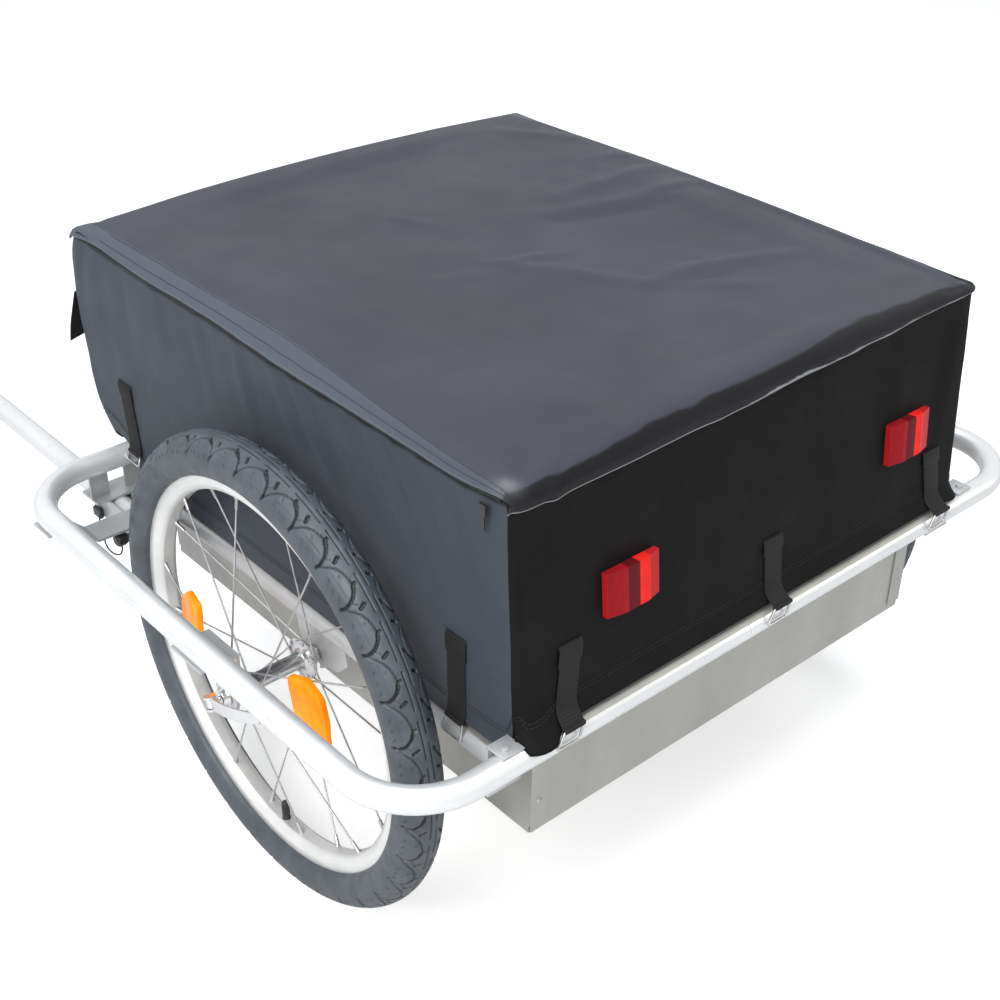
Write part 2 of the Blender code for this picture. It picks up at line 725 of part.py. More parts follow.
def make_skewer(side_name, outboard):
    """The rod through the axle, with its nut inside the frame and its cup and cam outside."""
    axis = empty(f"skewer_{side_name}_line", (outboard * HALF_TRACK, 0, AXLE_Z), ROOT)
    face = HUB_LENGTH / 2 + DROPOUT_THICKNESS + 3 * SEAT
    pivot = face + CAM_REACH
    rod_end = face + SKEWER_NUT_WIDTH + 0.002

    def along(distance):
        return (outboard * distance, 0, 0)

    def turned_part(tag, start, end, radius, sides, mouth=None):
        name = f"skewer_{tag}_{side_name}"
        return rod(name, along(start), along(end), radius, sides, parent=axis, end_radius=mouth)

    skewer = rod(f"skewer_{side_name}", along(-rod_end), along(pivot), SKEWER_RADIUS, 8, STEEL, axis)
    nut = turned_part("nut", -face, -face - SKEWER_NUT_WIDTH, SKEWER_NUT_RADIUS, 6)
    cup = turned_part("cup", face, face + SKEWER_CUP_WIDTH, SKEWER_CUP_RADIUS, 12, SKEWER_CUP_MOUTH)
    centre = Vector(along(pivot))
    reach = CAM_WAY * CAM_HALF_LENGTH
    cam = rod(f"skewer_cam_{side_name}", centre - reach, centre + reach, CAM_RADIUS, 10, parent=axis)
    join(skewer, nut, cup, cam)
    return pivot


def make_lever(side_name, outboard, pivot):
    """The quick-release lever: two ears on the cam's ends and a bowed paddle."""
    axis = empty(f"quick_release_{side_name}_axis", (outboard * (HALF_TRACK + pivot), 0, AXLE_Z), ROOT)
    inner = CAM_HALF_LENGTH + SEAT
    outer = LEVER_WIDTH / 2
    lever = rod(
        f"quick_release_{side_name}",
        CAM_WAY * inner,
        CAM_WAY * outer,
        LEVER_EAR_RADIUS,
        14,
        STEEL,
        axis,
    )
    ear = rod(f"lever_ear_{side_name}", CAM_WAY * -inner, CAM_WAY * -outer, LEVER_EAR_RADIUS, 14, parent=axis)
    outward = Vector((outboard, 0, 0))
    bow = [
        (0.063, 0.0000, 0.0024),
        (0.220, 0.0030, 0.0022),
        (0.510, 0.0042, 0.0020),
        (0.790, 0.0020, 0.0018),
        (1.000, -0.0030, 0.0016),
    ]
    bm = bmesh.new()
    rings = []
    for i, (share, lift, half) in enumerate(bow):
        wide = LEVER_WIDTH / 2 * (1 - LEVER_TAPER * i / len(bow))
        centre = LEVER_WAY * LEVER_LENGTH * share + outward * lift
        corners = [(-wide, -half), (wide, -half), (wide, half), (-wide, half)]
        rings.append([bm.verts.new(centre + CAM_WAY * u + outward * v) for u, v in corners])
    for ring, after in zip(rings, rings[1:]):
        for i in range(4):
            k = (i + 1) % 4
            bm.faces.new((ring[i], ring[k], after[k], after[i]))
    bm.faces.new(rings[0])
    bm.faces.new(rings[-1])
    join(lever, ear, add(f"lever_paddle_{side_name}", mesh_of("paddle", bm), None, axis))


# Tube loop, side rails and brackets

def make_loop():
    """The two bent halves. The left half's swaged ends plug into the right half."""
    for side_name, sign in (("left", -1), ("right", 1)):
        corners = [
            (LOOP_JOINT_X, LOOP_REAR, LOOP_Z),
            (sign * LOOP_X, LOOP_REAR, LOOP_Z),
            (sign * LOOP_X, LOOP_FRONT, LOOP_Z),
            (LOOP_JOINT_X, LOOP_FRONT, LOOP_Z),
        ]
        line = bent(corners, LOOP_BEND, 5)
        radii = [1] * len(line)
        if sign < 0:
            neck = (TUBE_RADIUS - TUBE_WALL - 2 * SEAT) / TUBE_RADIUS
            tip = Vector((LOOP_JOINT_X + SPIGOT_LENGTH, 0, LOOP_Z))
            shoulder = Vector((LOOP_JOINT_X - SEAT, 0, LOOP_Z))
            step = Vector((0.001, 0, 0))
            ends = []
            for y in (LOOP_REAR, LOOP_FRONT):
                at = Vector((0, y, 0))
                ends.append([tip + at, shoulder + at, shoulder - step + at])
            line = ends[0] + line[1:-1] + ends[1][::-1]
            radii = [neck, neck, 1] + [1] * (len(line) - 6) + [1, neck, neck]
        hollow_tube(f"perimeter_tube_{side_name}", line, TUBE_RADIUS, TUBE_WALL, 4, SILVER, radii)


def make_side_rails():
    for side_name, sign in (("left", -1), ("right", 1)):
        line = [(sign * RAIL_X, RAIL_REAR, RAIL_Z), (sign * RAIL_X, RAIL_FRONT, RAIL_Z)]
        hollow_tube(f"side_rail_{side_name}", line, RAIL_RADIUS, TUBE_WALL, 5, SILVER)


def make_corner_brackets():
    """Each closes a side rail's end and hangs it from the loop by a folded-over tab."""
    past_hem = COVER_BOTTOM_HALF_WIDTH + 0.0033
    inner = TUB_HALF_WIDTH + 0.0035
    low = RAIL_BOTTOM + SEAT
    strip_top = FLANGE_Z - RUNNING - SEAT
    top = LOOP_TOP + SEAT + BRACKET_THICKNESS
    outline = [
        (inner, low),
        (BRACKET_OUTER_X - 0.012, low),
        (BRACKET_OUTER_X, low + 0.014),
        (BRACKET_OUTER_X, top),
        (past_hem, top),
        (past_hem, strip_top),
        (inner, strip_top),
    ]
    ends = (("rear", RAIL_REAR, LOOP_REAR, -1), ("front", RAIL_FRONT, LOOP_FRONT, 1))
    for end_name, rail_end, tube_y, way in ends:
        web_y = rail_end + way * (SEAT + BRACKET_THICKNESS / 2)
        ys = sorted((web_y, tube_y + way * BRACKET_TAB_PAST_TUBE))
        for side_name, sign in (("left", -1), ("right", 1)):
            name = f"corner_bracket_{end_name}_{side_name}"
            place = frame_matrix((0, web_y, 0), (sign, 0, 0), (0, 0, 1), (0, -sign, 0))
            bracket = plate(name, [outline], BRACKET_THICKNESS, place, SILVER)
            xs = sorted((sign * past_hem, sign * BRACKET_OUTER_X))
            tab = block("bracket_tab", (xs[0], ys[0], top - BRACKET_THICKNESS), (xs[1], ys[1], top))
            screw_x = sign * (BRACKET_OUTER_X - 0.010)
            foot = (screw_x, tube_y, top - RUNNING)
            head = (screw_x, tube_y, top + 0.0022)
            crown = BRACKET_SCREW_RADIUS * 0.62
            screw = rod("bracket_screw", foot, head, BRACKET_SCREW_RADIUS, 10, end_radius=crown)
            join(bracket, tab, screw)


def dropout_outline():
    """The plate that drops from the side rail: an axle boss with a slot from below, and a rear tip."""
    slot = AXLE_RADIUS + SEAT
    top = RAIL_BOTTOM - SEAT - AXLE_Z
    boss = arc((0, 0), DROPOUT_RADIUS, radians(-20), radians(-72), 3)
    notch = arc((0, 0), slot, 0, pi, 8)
    boss_left = [(-y, z) for y, z in reversed(boss)]
    foot = -sqrt(DROPOUT_RADIUS ** 2 - slot ** 2)
    right = [(0.032, top), (0.027, 0.012)] + boss + [(slot, foot)]
    left = [(-slot, foot)] + boss_left + [(-0.037, -0.004), (-0.054, 0.013), (-0.049, top)]
    return right + notch + left


def make_dropouts():
    slot = AXLE_RADIUS + SEAT
    for side_name, sign in (("left", -1), ("right", 1)):
        inner_x = sign * (RAIL_X - SEAT - DROPOUT_THICKNESS / 2)
        place = frame_matrix((inner_x, 0, AXLE_Z), *FACING_X)
        plate(f"inner_dropout_{side_name}", [dropout_outline()], DROPOUT_THICKNESS, place, SILVER)

        outer_x = HALF_TRACK + HUB_LENGTH / 2 + SEAT + DROPOUT_THICKNESS / 2
        top = LOOP_BOTTOM - SEAT - AXLE_Z
        foot = -sqrt(DROPOUT_RADIUS ** 2 - slot ** 2)
        boss = arc((0, 0), DROPOUT_RADIUS, 0, radians(-72), 4)
        right = [(OUTER_DROPOUT_HALF, top), (OUTER_DROPOUT_HALF, top - 0.020)] + boss + [(slot, foot)]
        notch = arc((0, 0), slot, 0, pi, 8)
        outline = right + notch + [(-y, z) for y, z in reversed(right)]
        place = frame_matrix((sign * outer_x, 0, AXLE_Z), *FACING_X)
        dropout = plate(f"outer_dropout_{side_name}", [outline], DROPOUT_THICKNESS, place, SILVER)
        xs = sorted((sign * outer_x, sign * (LOOP_X + 0.010)))
        flange_top = LOOP_BOTTOM - SEAT
        low = (xs[0], -OUTER_DROPOUT_HALF, flange_top - DROPOUT_FLANGE)
        join(dropout, block("dropout_flange", low, (xs[1], OUTER_DROPOUT_HALF, flange_top)))


# Tub

def make_tub_pan():
    """The floor and both side walls, folded from one sheet. Its corner tabs wrap the end panels."""
    x = TUB_HALF_WIDTH - SHEET / 2
    floor = TUB_BOTTOM + SHEET / 2
    flange = FLANGE_Z + SHEET / 2
    path = [(-FLANGE_X, flange), (-x, flange), (-x, floor), (x, floor), (x, flange), (FLANGE_X, flange)]
    rear = TUB_REAR + SHEET + SEAT
    front = TUB_FRONT - SHEET - SEAT
    pan = folded_sheet("tub_pan", path, rear, front, "Y", SHEET, SHEET_METAL)
    low = TUB_BOTTOM + CORNER_TAB_BOTTOM
    place = Matrix.Translation((0, 0, low + CORNER_TAB_HEIGHT / 2))
    outer_x = TUB_HALF_WIDTH - CORNER_TAB_INSET
    inner_x = TUB_HALF_WIDTH - SHEET + CORNER_TAB_INSET
    tab_x = TUB_HALF_WIDTH - CORNER_TAB_WIDTH
    rivet_x = TUB_HALF_WIDTH - CORNER_TAB_WIDTH / 2
    for end, way in ((TUB_REAR, -1), (TUB_FRONT, 1)):
        root = end - way * 3 * SHEET
        inner = end + way * SEAT
        outer = inner + way * SHEET
        corner = [
            (inner_x, root),
            (outer_x, root),
            (outer_x, outer),
            (tab_x, outer),
            (tab_x, inner),
            (inner_x, inner),
        ]
        for sign in (-1, 1):
            outline = [(sign * u, v) for u, v in corner]
            if sign * way < 0:
                outline.reverse()
            tab = plate("tub_corner_tab", [outline], CORNER_TAB_HEIGHT, place)
            foot = (sign * rivet_x, (inner + outer) / 2, low + RIVET_HEIGHT)
            head = (sign * rivet_x, outer + way * RIVET_HEAD, low + RIVET_HEIGHT)
            rivet = rod("tub_rivet", foot, head, RIVET_RADIUS, 10, end_radius=RIVET_RADIUS * 0.55)
            join(pan, tab, rivet)


def make_end_panel(name, wall_y, tube_y, way):
    """An end wall of the tub. Its top edge folds out and is rolled over the loop tube."""
    sheet_y = wall_y - way * SHEET / 2
    roll = TUBE_RADIUS + SEAT + SHEET / 2
    path = [(sheet_y, TUB_BOTTOM), (sheet_y, LOOP_Z + roll)]
    steps = 4
    for i in range(steps + 1):
        a = pi / 2 - way * (LIP_ANGLE * i / steps)
        path.append((tube_y + roll * cos(a), LOOP_Z + roll * sin(a)))
    half = TUB_HALF_WIDTH - SHEET - SEAT
    return folded_sheet(name, path, -half, half, "X", SHEET, SHEET_METAL)


# Tow arm and lock pin

def make_arm_socket():
    """Two plates under the frame and the channel below them that the tow arm slides into."""
    plate_top = RAIL_BOTTOM - SEAT
    plate_low = plate_top - ARM_PLATE_THICKNESS
    hang_z = LOOP_BOTTOM - SEAT
    arm_z = plate_low - SEAT - ARM_RADIUS
    outside = ARM_RADIUS + SOCKET_WALL
    rear_end = RAIL_FRONT - SEAT
    rear_start = rear_end - ARM_PLATE_DEPTH
    low = plate_low + ARM_PLATE_THICKNESS / 2
    high = hang_z - ARM_PLATE_THICKNESS / 2
    path = [
        (-LOOP_X - 0.010, high),
        (-LOOP_X + 0.016, high),
        (-LOOP_X + 0.044, low),
        (-RAIL_X + 0.010, low),
    ]
    folded_sheet("arm_plate_rear", path, rear_start, rear_end, "Y", ARM_PLATE_THICKNESS, SILVER)

    left = ARM_X - outside - ARM_PLATE_LEFT_MARGIN
    right = ARM_X + outside + ARM_PLATE_RIGHT_MARGIN
    front_start = (left, LOOP_FRONT - ARM_PLATE_REAR_REACH, plate_low)
    front_end = (right, LOOP_FRONT + ARM_PLATE_FRONT_REACH, plate_top)
    front = block("arm_plate_front", front_start, front_end, SILVER)
    for x in (left, right - HANGER_TAB_WIDTH):
        tab_low = (x, LOOP_FRONT - ARM_PLATE_THICKNESS / 2, plate_top - 0.001)
        tab_high = (x + HANGER_TAB_WIDTH, LOOP_FRONT + ARM_PLATE_THICKNESS / 2, hang_z)
        join(front, block("arm_hanger_tab", tab_low, tab_high))

    half = ARM_RADIUS + SEAT + SOCKET_WALL / 2
    rim = plate_low - SEAT
    section = [
        (ARM_X - half, rim),
        (ARM_X - half, arm_z - half),
        (ARM_X + half, arm_z - half),
        (ARM_X + half, rim),
    ]
    channel_rear = WHEEL_RADIUS + SOCKET_CLEARANCE
    channel_front = LOOP_FRONT + SOCKET_PAST_LOOP
    channel = folded_sheet("arm_socket", section, channel_rear, channel_front, "Y", SOCKET_WALL, SILVER)
    pin_y = rear_start + LOCK_PIN_SETBACK
    hole_ends = (ARM_X - 2 * outside, pin_y, arm_z), (ARM_X + 2 * outside, pin_y, arm_z)
    hole = rod("lock_pin_hole", *hole_ends, LOCK_PIN_RADIUS + 2 * SEAT, 12)
    cut(channel, hole)
    return arm_z, channel_rear, channel_front, pin_y, hole


def make_tow_arm(arm_z, arm_rear, hole):
    """A straight tube with one double bend that brings its front end in behind the bicycle."""
    arm_front = TIP_Y - YOKE_LENGTH - SWIVEL_LENGTH - TONGUE_LENGTH
    tangent = ARM_BEND * tan(ARM_BEND_ANGLE / 2)
    second = arm_front - ARM_AFTER_BEND - tangent
    first = second - ARM_BROUGHT_IN / tan(ARM_BEND_ANGLE)
    corners = [
        (ARM_X, arm_rear, arm_z),
        (ARM_X, first, arm_z),
        (HITCH_X, second, arm_z),
        (HITCH_X, arm_front, arm_z),
    ]
    arm = hollow_tube("tow_arm", bent(corners, ARM_BEND, 5), ARM_RADIUS, TUBE_WALL, 4, SILVER)
    cut(arm, hole)
    return arm_front


def make_lock_pin(arm_z, pin_y):
    """A pin with a knob, through the socket and the arm."""
    outside = ARM_RADIUS + SOCKET_WALL
    face = ARM_X - outside - LOCK_KNOB_GAP
    reach = 2 * outside + LOCK_KNOB_GAP + LOCK_PIN_PAST_SOCKET
    axis = empty("lock_pin_axis", (face, pin_y, arm_z), ROOT)
    edge = LOCK_KNOB_RADIUS * 0.7
    knob = [
        (0, 0),
        (edge, 0),
        (LOCK_KNOB_RADIUS, -0.003),
        (LOCK_KNOB_RADIUS, 0.003 - LOCK_KNOB_LENGTH),
        (edge, -LOCK_KNOB_LENGTH),
        (0, -LOCK_KNOB_LENGTH),
    ]
    pin = turned("lock_pin", knob, 14, BLACK, axis, ALONG_X, closed=False)
    ends = (-LOCK_KNOB_LENGTH / 3, 0, 0), (reach, 0, 0)
    tip = LOCK_PIN_RADIUS * 0.9
    shank = rod("lock_pin_shank", *ends, LOCK_PIN_RADIUS, 12, parent=axis, end_radius=tip)
    join(pin, shank)
    return face


def smooth_route(points, count):
    """Points at even steps on a smooth curve through a few chosen ones."""
    points = [Vector(p) for p in points]
    padded = [2 * points[0] - points[1]] + points + [2 * points[-1] - points[-2]]
    dense = []
    for a, b, c, d in zip(padded, padded[1:], padded[2:], padded[3:]):
        bend = 2 * a - 5 * b + 4 * c - d
        twist = 3 * b - a - 3 * c + d
        for i in range(20):
            t = i / 20
            dense.append(0.5 * (2 * b + (c - a) * t + bend * t ** 2 + twist * t ** 3))
    dense.append(points[-1])
    lengths = [0]
    for a, b in zip(dense, dense[1:]):
        lengths.append(lengths[-1] + (b - a).length)
    route = []
    k = 0
    for i in range(count):
        target = lengths[-1] * i / (count - 1)
        while k < len(lengths) - 2 and lengths[k + 1] < target:
            k += 1
        span = lengths[k + 1] - lengths[k]
        share = (target - lengths[k]) / span if span else 0
        route.append(dense[k].lerp(dense[k + 1], min(1, share)))
    return route


def make_tether(arm_z, pin_y, knob_face, channel_front):
    """A clip on the socket's side and the short cord that keeps the lock pin from being lost."""
    side = ARM_X - ARM_RADIUS - SOCKET_WALL - 2 * SEAT
    clip_front = channel_front - CLIP_DEPTH
    clip_rear = clip_front - CLIP_LENGTH
    clip_low = arm_z - 0.017
    low = (side - CLIP_DEPTH, clip_rear, clip_low)
    clip = block("tether_clip", low, (side, clip_front, clip_low + CLIP_HEIGHT), BLACK)
    round_edges = clip.modifiers.new("round", "BEVEL")
    round_edges.width = CLIP_ROUND
    round_edges.segments = 1
    start = (side - CLIP_DEPTH / 2, clip_rear + CLIP_LENGTH / 2, clip_low - SEAT)
    knob_x = knob_face - LOCK_KNOB_LENGTH / 2
    knob_low = arm_z - LOCK_KNOB_RADIUS - 2 * SEAT
    route = [
        start,
        (start[0], start[1], start[2] - 0.006),
        (start[0] - 0.002, start[1] - 0.008, start[2] - 0.016),
        (start[0] - 0.008, start[1] - 0.026, start[2] - 0.022),
        (knob_x + 0.002, pin_y + 0.030, knob_low - 0.026),
        (knob_x, pin_y + 0.008, knob_low - 0.016),
        (knob_x, pin_y, knob_low - 0.005),
        (knob_x, pin_y, knob_low),
    ]
    wire("pin_tether", smooth_route(route, 24), TETHER_RADIUS, 2, BLACK)


# Hitch

def make_yoke(arm_z, arm_front):
    """A spigot in the arm's end with a collar, a back plate and two ears on an upright pin."""
    face = arm_front + SEAT
    cheek = face + YOKE_CHEEK
    yaw_y = face + YOKE_LENGTH - YOKE_CHEEK
    ear_low = SWIVEL_HALF_WIDTH + SEAT
    ear_high = ear_low + EAR_THICKNESS
    pin_end = ear_high + HITCH_PIN_HEAD
    wide = YOKE_EAR_RADIUS
    collar_end = face + YOKE_COLLAR

    def at(x, y, z):
        return (HITCH_X + x, y, arm_z + z)

    bore = ARM_RADIUS - TUBE_WALL - 3 * SEAT
    spigot_start = arm_front - ARM_AFTER_BEND + RUNNING
    yoke = rod("hitch_yoke", at(0, spigot_start, 0), at(0, face + 0.002, 0), bore, 14, STEEL)
    collar = rod("yoke_collar", at(0, face, 0), at(0, collar_end, 0), ARM_RADIUS, 16)
    back = block("yoke_back", at(-wide, collar_end - 0.0015, -ear_high), at(wide, cheek, ear_high))
    pin = rod("yoke_pin", at(0, yaw_y, -pin_end), at(0, yaw_y, pin_end), HITCH_PIN_RADIUS, 12)
    join(yoke, collar, back, pin)
    root = cheek - EAR_THICKNESS
    outline = [(-wide, root)] + arc((0, yaw_y), wide, pi, 0, 8) + [(wide, root)]
    for sign in (-1, 1):
        place = Matrix.Translation((HITCH_X, 0, arm_z + sign * (ear_low + ear_high) / 2))
        join(yoke, plate("yoke_ear", [outline], EAR_THICKNESS, place))
    return yaw_y


def make_swivel(arm_z, yaw_y):
    """The block that turns on the yoke's pin and carries the cross pin."""
    axis = empty("hitch_yaw_axis", (HITCH_X, yaw_y, arm_z), ROOT)
    half = SWIVEL_HALF_WIDTH
    hole = HITCH_PIN_RADIUS + SEAT
    nose = arc((0, PIN_SPACING), half, 0, pi, 8)[1:]
    body = [(half, PIN_SPACING)] + nose + arc((0, 0), half, pi, 2 * pi, 8)
    bore_ring = arc((0, 0), hole, 0, 2 * pi, 12)[:-1]
    swivel = plate("hitch_swivel", [body, bore_ring], 2 * half, Matrix.Identity(4), STEEL, axis)
    reach = half + SEAT + EAR_THICKNESS + HITCH_PIN_HEAD
    ends = (-reach, PIN_SPACING, 0), (reach, PIN_SPACING, 0)
    join(swivel, rod("hitch_cross_pin", *ends, HITCH_PIN_RADIUS, 12, parent=axis))
    return yaw_y + PIN_SPACING


def make_coupler(arm_z, pitch_y):
    """Two ears on the cross pin, a bridge and a tongue with an eye for the bicycle's rear axle."""
    axis = empty("hitch_pitch_axis", (HITCH_X, pitch_y, arm_z), ROOT)
    half = SWIVEL_HALF_WIDTH
    ear = COUPLER_EAR_RADIUS
    bridge_y = hypot(half, half) + 2 * RUNNING
    bridge_end = bridge_y + COUPLER_BRIDGE
    ears = [(bridge_end, ear), (bridge_end, -ear)] + arc((0, 0), ear, -pi / 2, -3 * pi / 2, 8)
    ring = arc((0, 0), HITCH_PIN_RADIUS + SEAT, 0, 2 * pi, 12)[:-1]
    ear_x = half + SEAT + EAR_THICKNESS / 2
    left_place = frame_matrix((-ear_x, 0, 0), *FACING_X)
    right_place = frame_matrix((ear_x, 0, 0), *FACING_X)
    coupler = plate("hitch_coupler", [ears, ring], EAR_THICKNESS, left_place, STEEL, axis)
    right_ear = plate("coupler_ear", [ears, ring], EAR_THICKNESS, right_place, parent=axis)
    wide = half + SEAT + EAR_THICKNESS
    bridge = block("coupler_bridge", (-wide, bridge_y, -ear), (wide, bridge_end, ear), parent=axis)
    tall = TONGUE_HALF_HEIGHT
    root = bridge_y + COUPLER_BRIDGE / 3
    shoulder = bridge_y + COUPLER_TAPER
    eye = (TIP_Y - pitch_y - tall, 0)
    outline = [(root, ear), (root, -ear), (shoulder, -tall)]
    outline += arc(eye, tall, -pi / 2, pi / 2, 10) + [(shoulder, tall)]
    axle_hole = arc(eye, BIKE_AXLE_RADIUS, 0, 2 * pi, 16)[:-1]
    place = frame_matrix((0, 0, 0), *FACING_X)
    tongue = plate("coupler_tongue", [outline, axle_hole], TONGUE_THICKNESS, place, parent=axis)
    join(coupler, right_ear, bridge, tongue)


# Cover

def hem_height(y):
    """Where the hem runs: on the tub's side flange, and up over the loop tube at both ends."""
    heights = []
    for tube_y, inward in ((LOOP_REAR, 1), (LOOP_FRONT, -1)):
        offset = (y - tube_y) * inward
        shelf = HEM_RADIUS * cos(radians(30))
        if offset < shelf:
            heights.append(LOOP_Z + sqrt(max(HEM_RADIUS ** 2 - offset ** 2, (HEM_RADIUS / 2) ** 2)))
        elif offset < shelf + HEM_RAMP:
            share = (offset - shelf) / HEM_RAMP
            heights.append(LOOP_Z + HEM_RADIUS / 2 + (HEM_SIDE_Z - LOOP_Z - HEM_RADIUS / 2) * share)
    return max(heights) if heights else HEM_SIDE_Z


def cover_ring(half_width, rear, front, height):
    """One level of the cover: a rounded rectangle, with points where the hem climbs."""
    steps = 3
    corner = COVER_CORNER
    shelf = HEM_RADIUS * cos(radians(30))
    rear_low = max(LOOP_REAR + shelf, rear + corner + 0.001)
    rear_high = max(LOOP_REAR + shelf + HEM_RAMP, rear_low + 0.004)
    front_low = min(LOOP_FRONT - shelf, front - corner - 0.001)
    front_high = min(LOOP_FRONT - shelf - HEM_RAMP, front_low - 0.004)
    climb = (rear_low, rear_high, front_high, front_low)
    ring = []
    ring += arc((half_width - corner, front - corner), corner, 0, pi / 2, steps)
    ring += arc((corner - half_width, front - corner), corner, pi / 2, pi, steps)
    ring += [(-half_width, y) for y in reversed(climb)]
    ring += arc((corner - half_width, rear + corner), corner, pi, 3 * pi / 2, steps)
    ring += arc((half_width - corner, rear + corner), corner, 3 * pi / 2, 2 * pi, steps)
    ring += [(half_width, y) for y in climb]
    return [(x, y, height(y) if callable(height) else height) for x, y in ring]


def rear_wall_y(z):
    """The outer face of the cover's rear wall, which leans forward."""
    share = (z - COVER_SHOULDER) / (COVER_TOP - COVER_SHOULDER)
    return COVER_REAR + (LOOP_REAR + COVER_TOP_REAR - COVER_REAR) * share


def side_wall_x(z):
    """The outer face of the cover's side walls, as a distance from the middle."""
    share = (z - COVER_SHOULDER) / (COVER_TOP - COVER_SHOULDER)
    return COVER_BOTTOM_HALF_WIDTH + (COVER_TOP_HALF_WIDTH - COVER_BOTTOM_HALF_WIDTH) * share


def make_cover_walls():
    """Four fabric walls as one skin, flared over the loop tube at the hem."""
    edge = HEM_RADIUS * cos(radians(30))
    mid = HEM_RADIUS * cos(radians(60))
    mid_z = LOOP_Z + HEM_RADIUS * sin(radians(60))
    bottom = COVER_BOTTOM_HALF_WIDTH
    front_hem = LOOP_FRONT + edge
    rings = [
        cover_ring(bottom, LOOP_REAR - edge, front_hem, hem_height),
        cover_ring(bottom, LOOP_REAR - mid, front_hem, mid_z),
        cover_ring(bottom, COVER_REAR, COVER_FRONT, COVER_SHOULDER),
    ]
    for share, swell in COVER_FRONT_SWELL:
        z = COVER_SHOULDER + (COVER_TOP - COVER_SHOULDER) * share
        rings.append(cover_ring(side_wall_x(z), rear_wall_y(z), COVER_FRONT + swell, z))
    top_rear = LOOP_REAR + COVER_TOP_REAR
    top_front = LOOP_FRONT + COVER_TOP_FRONT
    rings.append(cover_ring(COVER_TOP_HALF_WIDTH, top_rear, top_front, COVER_TOP))
    bm = bmesh.new()
    levels = [[bm.verts.new(p) for p in ring] for ring in rings]
    count = len(levels[0])
    for lower, upper in zip(levels, levels[1:]):
        for i in range(count):
            k = (i + 1) % count
            bm.faces.new((lower[i], lower[k], upper[k], upper[i]))
    mesh = bpy.data.meshes.new("cover_walls")
    bm.to_mesh(mesh)
    bm.free()
    smooth(mesh)
    walls = add("cover_walls", mesh, FABRIC_BLACK)
    shell = walls.modifiers.new("fabric", "SOLIDIFY")
    shell.thickness = FABRIC
    shell.offset = -1


def make_cover_lid():
    """The top panel with a skirt over the zip on three sides, hinged along its sewn front edge."""
    axis = empty("lid_axis", (0, LID_FRONT, LID_BOTTOM), ROOT)
    half = COVER_TOP_HALF_WIDTH + LID_OVERHANG
    rear = LOOP_REAR + COVER_TOP_REAR - LID_OVERHANG - LID_GAP - LID_FRONT
    corner = COVER_CORNER
    edge = [(half, -LID_GAP), (-half, -LID_GAP)]
    edge += arc((corner - half, rear + corner), corner, pi, 3 * pi / 2, 4)
    edge += arc((half - corner, rear + corner), corner, 3 * pi / 2, 2 * pi, 4)
    bm = bmesh.new()
    top = [bm.verts.new((x, y, FABRIC)) for x, y in edge]
    bm.faces.new(top)
    low = []
    for x, y in edge:
        lean = LID_REAR_FLARE * max(0, rear + corner - y) / corner
        spread = 1 + LID_SIDE_FLARE / half
        low.append(bm.verts.new((x * spread, y - lean, FABRIC - LID_SKIRT)))
    for i in range(1, len(edge)):
        k = (i + 1) % len(edge)
        bm.faces.new((top[i], low[i], low[k], top[k]))
    mesh = bpy.data.meshes.new("cover_lid")
    bm.to_mesh(mesh)
    bm.free()
    lid = add("cover_lid", mesh, FABRIC_BLACK, axis)
    shell = lid.modifiers.new("fabric", "SOLIDIFY")
    shell.thickness = FABRIC
    shell.offset = -1
    shell.use_even_offset = True


def make_hoops():
    """The bent hoops and the bars between them that hold the cover up."""
    top_z = LID_BOTTOM - SEAT - HOOP_RADIUS
    inset = FABRIC + HOOP_RADIUS + HOOP_INSET
    foot_offset = HOOP_RADIUS + HOOP_FOOT_GAP
    foot_rise = sqrt((TUBE_RADIUS + SEAT) ** 2 - HOOP_FOOT_GAP ** 2)
    rear_top = LOOP_REAR + COVER_TOP_REAR + inset
    front_top = LOOP_FRONT + COVER_TOP_FRONT - inset
    half = HOOP_HALF_WIDTH
    ends = (("rear_hoop", LOOP_REAR, -1, rear_top), ("front_hoop", LOOP_FRONT, 1, front_top))
    for name, tube_y, way, top_y in ends:
        foot_y = tube_y - way * foot_offset
        lean = way * (top_y - foot_y) / (top_z - LOOP_Z)
        foot_z = LOOP_Z + foot_rise + SEAT + max(0, lean) * HOOP_RADIUS
        corners = [
            (-half, foot_y, foot_z),
            (-half, top_y, top_z),
            (half, top_y, top_z),
            (half, foot_y, foot_z),
        ]
        hollow_tube(name, bent(corners, HOOP_BEND, 3), HOOP_RADIUS, HOOP_WALL, 2, SILVER)
    reach = HOOP_RADIUS + SEAT
    for side_name, sign in (("left", -1), ("right", 1)):
        x = sign * TOP_BAR_X
        line = [(x, rear_top + reach, top_z), (x, front_top - reach, top_z)]
        hollow_tube(f"top_bar_{side_name}", line, TOP_BAR_RADIUS, HOOP_WALL, 2, SILVER)


# Straps, reflectors and zip sliders

def make_ring(name, upper, lower, along):
    """A triangular wire ring from the strap's loop down to the tube."""
    wide = Vector(along) * (STRAP_WIDTH / 2 + 0.0005)
    upper, lower = Vector(upper), Vector(lower)
    corners = [upper - wide * 0.85, lower - wide, lower + wide, upper + wide * 0.85]
    return wire(name, corners, RING_WIRE, 1, cyclic=True)


